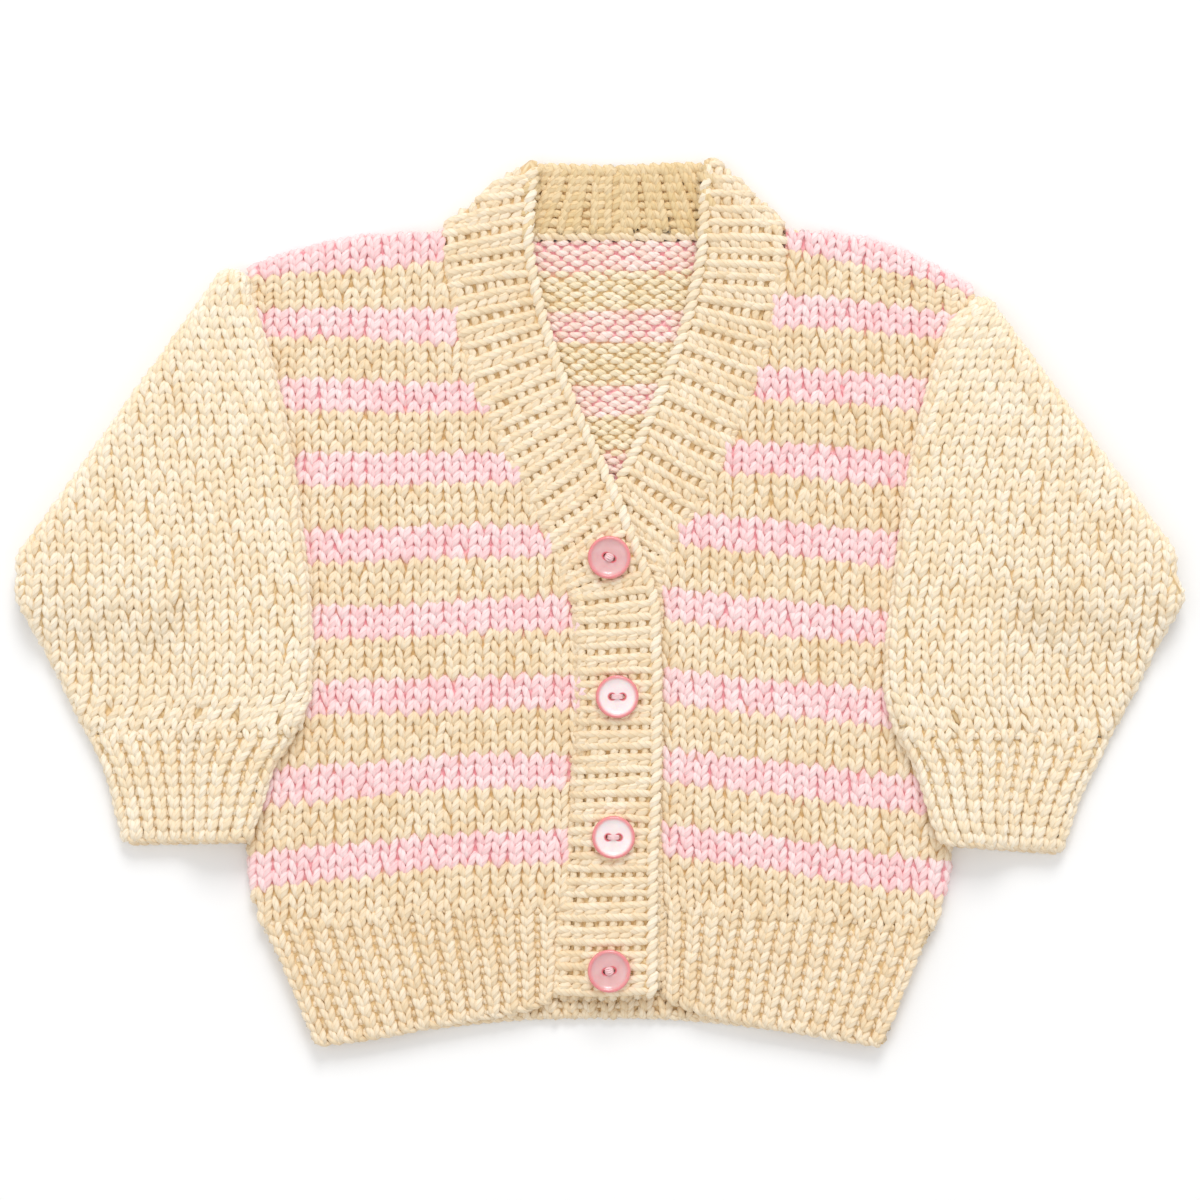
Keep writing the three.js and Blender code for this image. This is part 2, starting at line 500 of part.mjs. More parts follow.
function band(name, table, sewnTo, liesOnTop) {
  const outer = [];
  const inner = [];
  const neckCentre = table[table.length - 1].seam;
  const foldPlace = table.findIndex((row) => row.turn > 0) - 1;
  for (const { ribs, place, isEnd } of ribPlaces(table)) {
    const row = stationAt(table, place);
    const turn = THREE.MathUtils.degToRad(row.turn);
    const isTurned = row.turn > TURNED_OVER;
    const along = new THREE.Vector3(row.edge - row.seam, row.edgeUp - row.seamUp, 0).normalize();
    const outward = new THREE.Vector3(-along.y, along.x, 0);
    outward.multiplyScalar(Math.sign(neckCentre - row.seam) || 1);
    const roll = NECK_ROLL * ramp(foldPlace - ROLL_ROWS, foldPlace, place);
    const plain = isTurned ? 0 : ramp(foldPlace - 1, foldPlace, place);
    const clear = sewnEdge(sewnTo, row.seamUp) + (liesOnTop ? SEAM_CLEAR : -SEAM_CLEAR);
    const seam = liesOnTop ? Math.max(row.seam, clear) : Math.min(row.seam, clear);
    const rowOuter = [];
    const rowInner = [];
    for (const u of liesOnTop ? bandPlaces({ ...row, seam }) : placesAcross(BAND_WIDTH, 1)) {
      const [x, y] = [mix(seam, row.edge, u), mix(row.seamUp, row.edgeUp, u)];
      const free = underBandEdge(y);
      const lift = liesOnTop ? BAND_LIFT * ramp(free - RISE_WIDTH, free - RISE_CLEAR, x) : 0;
      const faceUp = RIB_MIDDLE + lift + roll * u;
      const [radius, axis] = [(faceUp - RIB_WALL / 2) / 2, (faceUp + RIB_WALL / 2) / 2];
      const middle = new THREE.Vector3(x, y, axis + radius * Math.cos(turn));
      middle.addScaledVector(outward, radius * Math.sin(turn));
      const normal = new THREE.Vector3(0, 0, Math.cos(turn)).addScaledVector(outward, Math.sin(turn));
      const half = (RIB_WALL / 2) * (isEnd ? EDGE_SHARE : rimShare(u));
      const raise = isEnd || rimShare(u) < 1 ? 0 : ribRaise(ribs) * (1 - plain);
      rowOuter.push(middle.clone().addScaledVector(normal, half + (isTurned ? 0 : raise)));
      rowInner.push(middle.clone().addScaledVector(normal, -half - (isTurned ? raise : 0)));
    }
    outer.push(rowOuter);
    inner.push(rowInner);
  }
  wall(name, outer, inner, CREAM);
}

// What a sleeve's upper half lies on: the front, or its own lower half, or the surface
const UNDERARM_UP = 167;
const STEP_REACH = 12; // the cloth bridges this far past its support
const STEP_WIDTH = 14; // and comes down over this distance
function supportAt(x, up, sideSign) {
  const table = sideSign < 0 ? RIGHT_FRONT : LEFT_FRONT;
  const side = Math.abs(lookUp(table, "sideUp", up, "side"));
  const beyond = (distance) => 1 - ramp(STEP_REACH, STEP_REACH + STEP_WIDTH, distance);
  const overBody = beyond(Math.abs(x) - side);
  const overItself = beyond(UNDERARM_UP - up);
  return FOLDED_UNDER * Math.max(overBody, overItself);
}

// A ring's outline: shares along it and heights on it, going out on its upper face and back on its lower one
const TIP_ANGLES = [60, 0, -60]; // the points that round its ends
function ringOutline(length, half, inset, facePlaces, backPlaces) {
  const end = Math.max(half, TUBE_GAP / 2);
  const tip = TIP_ANGLES.map((angle) => THREE.MathUtils.degToRad(angle));
  const faces = facePlaces.map((share) => [mix(inset + end, length - inset - end, share), half]);
  const backs = backPlaces.map((share) => [mix(length - inset - end, inset + end, share), -half]);
  const outerTip = tip.map((angle) => [length - inset - end + end * Math.cos(angle), half * Math.sin(angle)]);
  const innerTip = tip.map((angle) => [inset + end - end * Math.cos(angle), -half * Math.sin(angle)]);
  return [...faces, ...outerTip, ...backs, ...innerTip];
}

// A flattened tube. The face that is uppermost once it has folded over carries the raised ribs, if any.
function tube(name, table, sideSign, rings, thickness, facePlaces, backPlaces, raiseAt, material) {
  const outer = [];
  const inner = [];
  for (const place of rings) {
    const row = stationAt(table, place);
    const turn = THREE.MathUtils.degToRad(row.turn);
    const plan = new THREE.Vector3(row.under - row.top, row.underUp - row.topUp, 0);
    const length = plan.length();
    plan.normalize();
    const outward = new THREE.Vector3(-plan.y, plan.x, 0).multiplyScalar(sideSign);
    const place3 = (along, height) => {
      const point = new THREE.Vector3(row.top, row.topUp, 0).addScaledVector(plan, along);
      const upper = TUBE_HALF + supportAt(point.x, point.y, sideSign);
      const [radius, axis] = [(upper - TUBE_HALF) / 2, (upper + TUBE_HALF) / 2];
      const facing = new THREE.Vector3(0, 0, -Math.cos(turn)).addScaledVector(outward, Math.sin(turn));
      point.z = axis;
      return point.addScaledVector(facing, radius + height);
    };
    const outline = ringOutline(length, TUBE_HALF, 0, facePlaces, backPlaces);
    const hollow = ringOutline(length, TUBE_HALF - thickness, thickness, facePlaces, backPlaces);
    outer.push(outline.map(([along, height], i) => place3(along, height + raiseAt(i))));
    inner.push(hollow.map(([along, height]) => place3(along, height)));
  }
  wall(name, outer, inner, material, true);
}

function sleeve(name, table, sideSign) {
  const fold = table.findIndex((row) => row.turn === 90);
  const rows = table.map((_, i) => i);
  const around = spaced(FOLD_STEPS).map((share) => fold - 1 + 2 * share);
  const rings = [...rows.filter((i) => i < fold - 1), ...around, ...rows.filter((i) => i > fold + 1)];
  const places = spaced(TUBE_STEPS);
  tube(name, table, sideSign, rings, WALL, places, places, () => 0, CREAM);
}

function cuff(name, table, sideSign) {
  const facePlaces = spaced(RIB_POINTS * CUFF_RIBS);
  const raiseAt = (i) => (i < facePlaces.length ? ribRaise(facePlaces[i] * CUFF_RIBS) : 0);
  const rings = table.map((_, i) => i);
  tube(name, table, sideSign, rings, RIB_WALL, facePlaces, spaced(TUBE_STEPS), raiseAt, CREAM);
}

// A moulded button with a raised rim, a dished face and two holes
function button(name, { across, up, turn }) {
  const { radius, thick, rimWidth, dish, holeRadius, holeSpacing } = BUTTON;
  const face = radius - rimWidth;
  const profile = [
    [0, 0],
    [radius - BUTTON_BEVEL, 0],
    [radius, BUTTON_BEVEL],
    [radius - 0.3, thick - 0.2],
    [radius - rimWidth / 2, thick],
    [face, thick - 0.3],
    [face - BUTTON_SLOPE, thick - dish],
    [0, thick - dish - 0.2],
  ].map(([across, high]) => new THREE.Vector2(across, high));
  const disc = new THREE.LatheGeometry(profile, BUTTON_SIDES).rotateX(Math.PI / 2);
  let solid = solidOf(disc);
  for (const side of [-1, 1]) {
    const hole = new THREE.CylinderGeometry(holeRadius, holeRadius, 3 * thick, HOLE_SIDES);
    hole.rotateX(Math.PI / 2).translate((side * holeSpacing) / 2, 0, thick / 2);
    solid = solid.subtract(solidOf(hole));
  }
  const { vertProperties, triVerts } = solid.getMesh();
  const geometry = new THREE.BufferGeometry();
  geometry.setAttribute("position", new THREE.BufferAttribute(vertProperties, 3));
  geometry.setIndex(new THREE.BufferAttribute(triVerts, 1));
  geometry.computeVertexNormals();
  const mesh = new THREE.Mesh(geometry, PINK_PLASTIC);
  mesh.name = name;
  mesh.rotation.z = THREE.MathUtils.degToRad(turn);
  mesh.position.set(across, up, BUTTON_SEAT);
  garment.add(mesh);
}

// The buttons lie on the buttonhole band's ribs
const BUTTON_SEAT = FRONT_UNDER + BAND_LIFT + RIB_WALL + RIB_RAISE + LAYER_GAP;

// A closed geometry as a manifold-3d solid
const MERGE_REACH = 1e-4;
function solidOf(geometry) {
  const bare = geometry.clone();
  bare.deleteAttribute("normal");
  bare.deleteAttribute("uv");
  const merged = mergeVertices(bare, MERGE_REACH);
  const mesh = {
    numProp: 3,
    vertProperties: merged.attributes.position.array,
    triVerts: new Uint32Array(merged.index.array),
  };
  const solid = new wasm.Manifold(new wasm.Mesh(mesh));
  if (solid.volume() > 0) return solid;
  mesh.triVerts = mesh.triVerts.slice().reverse();
  return new wasm.Manifold(new wasm.Mesh(mesh));
}

back();
backWelt();
const rightEdge = [
  ...frontWelt("right_front_welt", RIGHT_FRONT, RIGHT_HEM, "right"),
  ...front("right_front", RIGHT_FRONT),
];
const leftEdge = [
  ...frontWelt("left_front_welt", LEFT_FRONT, LEFT_HEM, "left"),
  ...front("left_front", LEFT_FRONT),
];
band("button_band", BUTTON_BAND, leftEdge, false);
band("buttonhole_band", BUTTONHOLE_BAND, rightEdge, true);
sleeve("right_sleeve", RIGHT_SLEEVE, -1);
sleeve("left_sleeve", LEFT_SLEEVE, 1);
cuff("right_cuff", RIGHT_CUFF, -1);
cuff("left_cuff", LEFT_CUFF, 1);
BUTTONS.forEach((place, i) => button(`button_${i + 1}`, place));

export default garment;
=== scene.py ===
"""A hand-knitted baby cardigan, laid flat on its back: the looks of its yarn, stitches, ribbing and buttons."""
import math

import bmesh
import bpy
import numpy as np
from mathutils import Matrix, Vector
from mathutils.bvhtree import BVHTree


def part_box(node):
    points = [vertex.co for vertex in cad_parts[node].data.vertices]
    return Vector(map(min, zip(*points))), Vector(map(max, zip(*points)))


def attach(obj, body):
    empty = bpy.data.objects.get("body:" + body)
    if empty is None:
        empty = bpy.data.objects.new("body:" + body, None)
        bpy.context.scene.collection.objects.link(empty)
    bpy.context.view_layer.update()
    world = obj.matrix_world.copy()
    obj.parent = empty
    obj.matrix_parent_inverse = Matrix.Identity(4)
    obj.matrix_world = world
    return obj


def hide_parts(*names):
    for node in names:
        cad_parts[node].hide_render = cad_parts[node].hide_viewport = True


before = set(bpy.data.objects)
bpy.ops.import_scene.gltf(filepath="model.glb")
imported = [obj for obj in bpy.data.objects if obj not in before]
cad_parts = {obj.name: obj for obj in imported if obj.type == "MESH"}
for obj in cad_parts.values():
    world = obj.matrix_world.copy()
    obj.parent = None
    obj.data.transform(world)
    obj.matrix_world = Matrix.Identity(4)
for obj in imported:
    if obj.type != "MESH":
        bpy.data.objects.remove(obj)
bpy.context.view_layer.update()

bl_info = {
    "name": "Hand-knitted baby cardigan",
    "version": (1, 0, 0),
    "blender": (4, 5, 0),
    "location": "3D View > Sidebar > Cardigan",
    "description": "Knits the cardigan's cloth over its solids, stitch by stitch",
    "category": "Add Mesh",
}

MM = 0.001
CENTRE_UP = 156  # the frame's origin is this far above the lowest hem corner, in mm
STRIPE_ROWS = 7  # each stripe repeats after this many rows
PINK_ROWS = 3  # and this many of them are pink
STRIPES = 9
BAND_ROWS = 8
WELT_RIBS = 14
WELT_ROWS = 11
CUFF_RIBS = 9
CUFF_ROWS = 10

# Middle of each pink stripe, in mm above the origin, on three lines down each front: near the band, half-way, at the side
RIGHT_STRIPES = {"across": (-14.0, -66.5, -112.0), "stripes": [
    {"edge": 126.0, "middle": 123.6, "side": 118.3},
    {"edge": 94.2, "middle": 96.4, "side": 97.7},
    {"edge": 70.4, "middle": 71.4, "side": 72.5},
    {"edge": 46.9, "middle": 46.6, "side": 45.9},
    {"edge": 22.1, "middle": 20.1, "side": 19.3},
    {"edge": -3.9, "middle": -6.7, "side": -8.1},
    {"edge": -32.2, "middle": -32.7, "side": -35.0},
    {"edge": -59.0, "middle": -61.3, "side": -65.3},
    {"edge": -85.6, "middle": -88.7, "side": -93.8},
]}
LEFT_STRIPES = {"across": (21.0, 63.0, 112.0), "stripes": [
    {"edge": 131.0, "middle": 128.5, "side": 116.5},
    {"edge": 103.2, "middle": 101.5, "side": 98.5},
    {"edge": 78.0, "middle": 76.1, "side": 72.4},
    {"edge": 52.1, "middle": 49.5, "side": 45.8},
    {"edge": 26.6, "middle": 21.9, "side": 17.1},
    {"edge": 0.0, "middle": -5.8, "side": -10.1},
    {"edge": -29.8, "middle": -34.3, "side": -38.1},
    {"edge": -57.4, "middle": -62.3, "side": -68.4},
    {"edge": -82.6, "middle": -89.1, "side": -96.2},
]}
BACK_STRIPES = {"across": (-40.0, 0.0, 40.0), "stripes": [
    {"edge": 121.1, "middle": 121.1, "side": 121.1},
    {"edge": 96.4, "middle": 96.4, "side": 96.4},
    {"edge": 70.3, "middle": 70.3, "side": 70.3},
    {"edge": 45.9, "middle": 45.9, "side": 45.9},
]}

# The bands' seams and free edges, in mm, up from the lowest hem corner, with the number of ribs up to there.
# "front" runs from the hem to the shoulder and on past its fold, and "neck" from the fold to the centre of the back neck.
BUTTONHOLE_BAND = {"front": [
    {"seam": -15.4, "seam_up": 17.2, "edge": 19.6, "edge_up": 18.0, "ribs": 0},
    {"seam": -14.4, "seam_up": 34.0, "edge": 19.4, "edge_up": 34.0, "ribs": 1.9},
    {"seam": -12.8, "seam_up": 50.0, "edge": 19.4, "edge_up": 50.0, "ribs": 3.8},
    {"seam": -10.5, "seam_up": 66.5, "edge": 19.5, "edge_up": 66.5, "ribs": 5.7},
    {"seam": -8.6, "seam_up": 93.0, "edge": 20.6, "edge_up": 93.4, "ribs": 8.8},
    {"seam": -7.6, "seam_up": 124.0, "edge": 20.8, "edge_up": 124.0, "ribs": 12.4},
    {"seam": -8.0, "seam_up": 142.0, "edge": 20.4, "edge_up": 142.5, "ribs": 14.4},
    {"seam": -8.4, "seam_up": 155.0, "edge": 19.3, "edge_up": 157.8, "ribs": 16.0},
    {"seam": -11.9, "seam_up": 164.0, "edge": 12.6, "edge_up": 177.0, "ribs": 17.8},
    {"seam": -17.7, "seam_up": 177.9, "edge": 6.0, "edge_up": 194.0, "ribs": 19.7},
    {"seam": -25.8, "seam_up": 195.4, "edge": -2.0, "edge_up": 211.1, "ribs": 21.8},
    {"seam": -34.5, "seam_up": 211.9, "edge": -8.6, "edge_up": 225.6, "ribs": 23.8},
    {"seam": -42.5, "seam_up": 228.6, "edge": -14.4, "edge_up": 240.4, "ribs": 25.7},
    {"seam": -48.2, "seam_up": 249.5, "edge": -19.5, "edge_up": 257.2, "ribs": 27.7},
    {"seam": -51.7, "seam_up": 267.4, "edge": -22.8, "edge_up": 273.1, "ribs": 29.4},
    {"seam": -54.0, "seam_up": 279.0, "edge": -24.0, "edge_up": 285.2, "ribs": 30.7},
    {"seam": -55.5, "seam_up": 298.3, "edge": -22.3, "edge_up": 304.5, "ribs": 32.7},
    {"seam": -57.0, "seam_up": 317.6, "edge": -21.0, "edge_up": 323.8, "ribs": 34.7},
], "neck": [
    {"seam": -54.6, "seam_up": 284.2, "edge": -21.6, "edge_up": 308.0, "ribs": 33.2},
    {"seam": -38.0, "seam_up": 284.4, "edge": -18.0, "edge_up": 308.6, "ribs": 34.4},
    {"seam": -18.0, "seam_up": 283.9, "edge": -10.0, "edge_up": 308.4, "ribs": 36.0},
    {"seam": 5.8, "seam_up": 283.6, "edge": 5.8, "edge_up": 307.8, "ribs": 38.0},
]}
BUTTON_BAND = {"front": [
    {"seam": 21.9, "seam_up": 21.0, "edge": -3.5, "edge_up": 21.0, "ribs": 0},
    {"seam": 21.2, "seam_up": 34.0, "edge": -3.5, "edge_up": 34.0, "ribs": 1.5},
    {"seam": 20.9, "seam_up": 50.0, "edge": -3.6, "edge_up": 50.0, "ribs": 3.4},
    {"seam": 20.8, "seam_up": 66.0, "edge": -3.6, "edge_up": 66.0, "ribs": 5.2},
    {"seam": 21.0, "seam_up": 93.0, "edge": -3.0, "edge_up": 93.0, "ribs": 8.4},
    {"seam": 21.1, "seam_up": 124.0, "edge": -2.6, "edge_up": 124.0, "ribs": 12.0},
    {"seam": 21.0, "seam_up": 160.0, "edge": -2.8, "edge_up": 162.3, "ribs": 16.3},
    {"seam": 25.8, "seam_up": 176.8, "edge": 4.0, "edge_up": 192.9, "ribs": 19.0},
    {"seam": 35.4, "seam_up": 192.0, "edge": 9.9, "edge_up": 206.0, "ribs": 20.6},
    {"seam": 44.2, "seam_up": 209.4, "edge": 16.6, "edge_up": 221.3, "ribs": 22.4},
    {"seam": 51.2, "seam_up": 226.9, "edge": 23.9, "edge_up": 238.4, "ribs": 24.3},
    {"seam": 58.2, "seam_up": 246.1, "edge": 29.2, "edge_up": 254.2, "ribs": 26.2},
    {"seam": 61.7, "seam_up": 264.0, "edge": 32.0, "edge_up": 266.1, "ribs": 27.7},
    {"seam": 63.6, "seam_up": 277.0, "edge": 34.5, "edge_up": 278.6, "ribs": 29.2},
    {"seam": 65.0, "seam_up": 297.2, "edge": 35.6, "edge_up": 298.6, "ribs": 31.2},
    {"seam": 66.4, "seam_up": 317.4, "edge": 36.8, "edge_up": 318.6, "ribs": 33.2},
], "neck": [
    {"seam": 64.0, "seam_up": 285.0, "edge": 36.0, "edge_up": 308.6, "ribs": 31.9},
    {"seam": 50.0, "seam_up": 284.4, "edge": 31.0, "edge_up": 309.0, "ribs": 33.0},
    {"seam": 30.0, "seam_up": 284.0, "edge": 22.0, "edge_up": 308.6, "ribs": 34.7},
    {"seam": 6.2, "seam_up": 283.6, "edge": 6.2, "edge_up": 307.8, "ribs": 37.0},
]}

# The fronts' ribbing, in mm: its hem and its top, with the number of ribs up to there
WELTS = {"right": [
    {"hem": -100.1, "hem_up": 0.7, "top": -118.0, "top_up": 42.6, "ribs": 0},
    {"hem": -77.0, "hem_up": 3.6, "top": -89.5, "top_up": 45.0, "ribs": 3.85},
    {"hem": -56.0, "hem_up": 7.7, "top": -63.5, "top_up": 46.8, "ribs": 7.35},
    {"hem": -35.0, "hem_up": 11.0, "top": -37.6, "top_up": 48.4, "ribs": 10.85},
    {"hem": -16.0, "hem_up": 16.4, "top": -14.2, "top_up": 50.0, "ribs": 14},
], "left": [
    {"hem": 22.8, "hem_up": 16.4, "top": 22.4, "top_up": 50.0, "ribs": 0},
    {"hem": 35.0, "hem_up": 11.9, "top": 37.4, "top_up": 49.0, "ribs": 2.2},
    {"hem": 49.0, "hem_up": 8.8, "top": 54.5, "top_up": 48.0, "ribs": 4.8},
    {"hem": 77.0, "hem_up": 3.9, "top": 89.0, "top_up": 45.2, "ribs": 9.9},
    {"hem": 99.4, "hem_up": 0.5, "top": 116.4, "top_up": 42.0, "ribs": 14},
]}
# The cuffs' ends: their heights above the origin at the left and the right, in mm
CUFFS = {
    "right": {"lower": (-84.2, -83.5), "upper": (-46.9, -44.0)},
    "left": {"lower": (-84.6, -87.4), "upper": (-44.0, -48.0)},
}
# The eyelets above the cuffs, in mm from the origin
EYELETS = {
    "right": [{"across": -172.2, "up": -38.2}, {"across": -154.0, "up": -38.8}, {"across": -140.4, "up": -39.0},
              {"across": -126.8, "up": -39.4}, {"across": -113.2, "up": -41.6}],
    "left": [{"across": 123.7, "up": -40.8}, {"across": 149.5, "up": -42.4}, {"across": 166.5, "up": -44.6}],
}
EYELET_PUSH = 1.7  # how far the yarn moves away from an eyelet's middle, in mm
EYELET_REACH = 2.9
# What each front is joined to: its stitches run level across those seams
JOINED = {
    "right": ("right_front", "right_front_welt", "buttonhole_band"),
    "left": ("left_front", "left_front_welt", "button_band"),
}

# One leg of a knitted stitch, from where it comes out of the stitch below to where it goes in behind the one above:
# aside in stitch widths, up in rows, lift above the cloth and thick (its radius) as shares of the yarn's radius
LEG = [
    {"aside": 0.055, "up": -0.80, "lift": -0.72, "thick": 0.58},
    {"aside": 0.135, "up": -0.42, "lift": 0.02, "thick": 0.92},
    {"aside": 0.235, "up": 0.00, "lift": 0.26, "thick": 1.02},
    {"aside": 0.325, "up": 0.40, "lift": 0.02, "thick": 0.92},
    {"aside": 0.40, "up": 0.76, "lift": -0.86, "thick": 0.58},
]
# The same in ribbing, where aside is in ribs
WELT_LEG = [
    {"aside": 0.03, "up": -0.76, "lift": -0.75, "thick": 0.58},
    {"aside": 0.095, "up": -0.40, "lift": 0.02, "thick": 0.92},
    {"aside": 0.175, "up": 0.02, "lift": 0.25, "thick": 1.02},
    {"aside": 0.24, "up": 0.39, "lift": 0.04, "thick": 0.94},
    {"aside": 0.28, "up": 0.72, "lift": -0.85, "thick": 0.60},
]
# The same in the bands, whose ribs are stretched along the edge until each leg lies in a rope beside its furrow
BAND_LEG = [
    {"aside": 0.195, "up": -0.90, "lift": -0.55, "thick": 0.66},
    {"aside": 0.215, "up": -0.46, "lift": 0.02, "thick": 0.95},
    {"aside": 0.24, "up": 0.00, "lift": 0.16, "thick": 1.03},
    {"aside": 0.265, "up": 0.46, "lift": 0.04, "thick": 0.95},
    {"aside": 0.275, "up": 0.90, "lift": -0.55, "thick": 0.66},
]
# The strand between the two ropes of a rib, low down
CROTCH = [
    {"aside": -0.17, "up": -0.40, "lift": -0.62, "thick": 0.80},
    {"aside": -0.08, "up": -0.19, "lift": -0.28, "thick": 1.02},
    {"aside": 0.00, "up": 0.03, "lift": -0.14, "thick": 1.10},
    {"aside": 0.08, "up": 0.26, "lift": -0.28, "thick": 1.02},
    {"aside": 0.17, "up": 0.44, "lift": -0.62, "thick": 0.80},
]
# A purl bump, which lies across the column
PURL = [
    {"aside": -0.47, "up": -0.22, "lift": -0.85, "thick": 0.42},
    {"aside": -0.26, "up": -0.04, "lift": -0.12, "thick": 0.84},
    {"aside": 0.00, "up": 0.06, "lift": 0.20, "thick": 1.02},
    {"aside": 0.26, "up": -0.03, "lift": -0.12, "thick": 0.84},
    {"aside": 0.47, "up": -0.19, "lift": -0.85, "thick": 0.42},
]

SKY = 60.0  # rays come down on the cloth from this height, in mm
SEAM_REACH = 2.2  # stitches this near to a seam bridge it, in mm
WANDER = 0.3  # hand knitting is out of true by about this much, in mm


def linear(code):
    """An sRGB hex colour as linear red, green, blue and alpha."""
    parts = [int(code[i:i + 2], 16) / 255 for i in (1, 3, 5)]
    return [c / 12.92 if c <= 0.04045 else ((c + 0.055) / 1.055) ** 2.4 for c in parts] + [1.0]


class CardiganSettings(bpy.types.PropertyGroup):
    stitch_width: bpy.props.FloatProperty(
        name="Stitch width", description="Width of one stitch", default=5.46 * MM, min=0.003, unit="LENGTH")
    row_height: bpy.props.FloatProperty(
        name="Row height", description="Height of one row", default=3.78 * MM, min=0.002, unit="LENGTH")
    yarn_radius: bpy.props.FloatProperty(
        name="Yarn radius", description="Half the thickness of the yarn", default=1.36 * MM, min=0.0005, unit="LENGTH")
    unevenness: bpy.props.FloatProperty(
        name="Unevenness", description="How much hand-made stitches differ from each other", default=0.06, min=0,
        max=0.3, subtype="FACTOR")
    cream: bpy.props.FloatVectorProperty(
        name="Cream yarn", description="Colour of the main yarn", default=linear("#eed5ae")[:3], size=3, min=0, max=1,
        subtype="COLOR")
    pink: bpy.props.FloatVectorProperty(
        name="Pink yarn", description="Colour of the stripes", default=linear("#fdcfd0")[:3], size=3, min=0, max=1,
        subtype="COLOR")
    button_width: bpy.props.FloatProperty(
        name="Button width", description="Diameter of a button", default=15 * MM, min=0.008, unit="LENGTH")


def smooth(low, high, value):
    share = np.clip((value - low) / (high - low), 0, 1)
    return share * share * (3 - 2 * share)


def rows_of(table):
    return np.array([list(row.values()) for row in table], float)


def at(table, place):
    """The table's columns at places between its rows, on smooth curves through them."""
    place = np.asarray(place, float)
    row = np.clip(np.floor(place).astype(int), 0, len(table) - 2)
    share = (place - row)[..., None]
    before, here, there, after = (table[np.clip(row + step, 0, len(table) - 1)] for step in (-1, 0, 1, 2))
    bend = (there - before) * share * (1 - share) ** 2 - (after - here) * share ** 2 * (1 - share)
    return here + (there - here) * share * share * (3 - 2 * share) + bend / 2


def between(values):
    """Values in a row, with each missing one put in from its neighbours."""
    known = ~np.isnan(values)
    return np.interp(np.arange(len(values)), np.flatnonzero(known), values[known]) if known.any() else np.zeros(len(values))


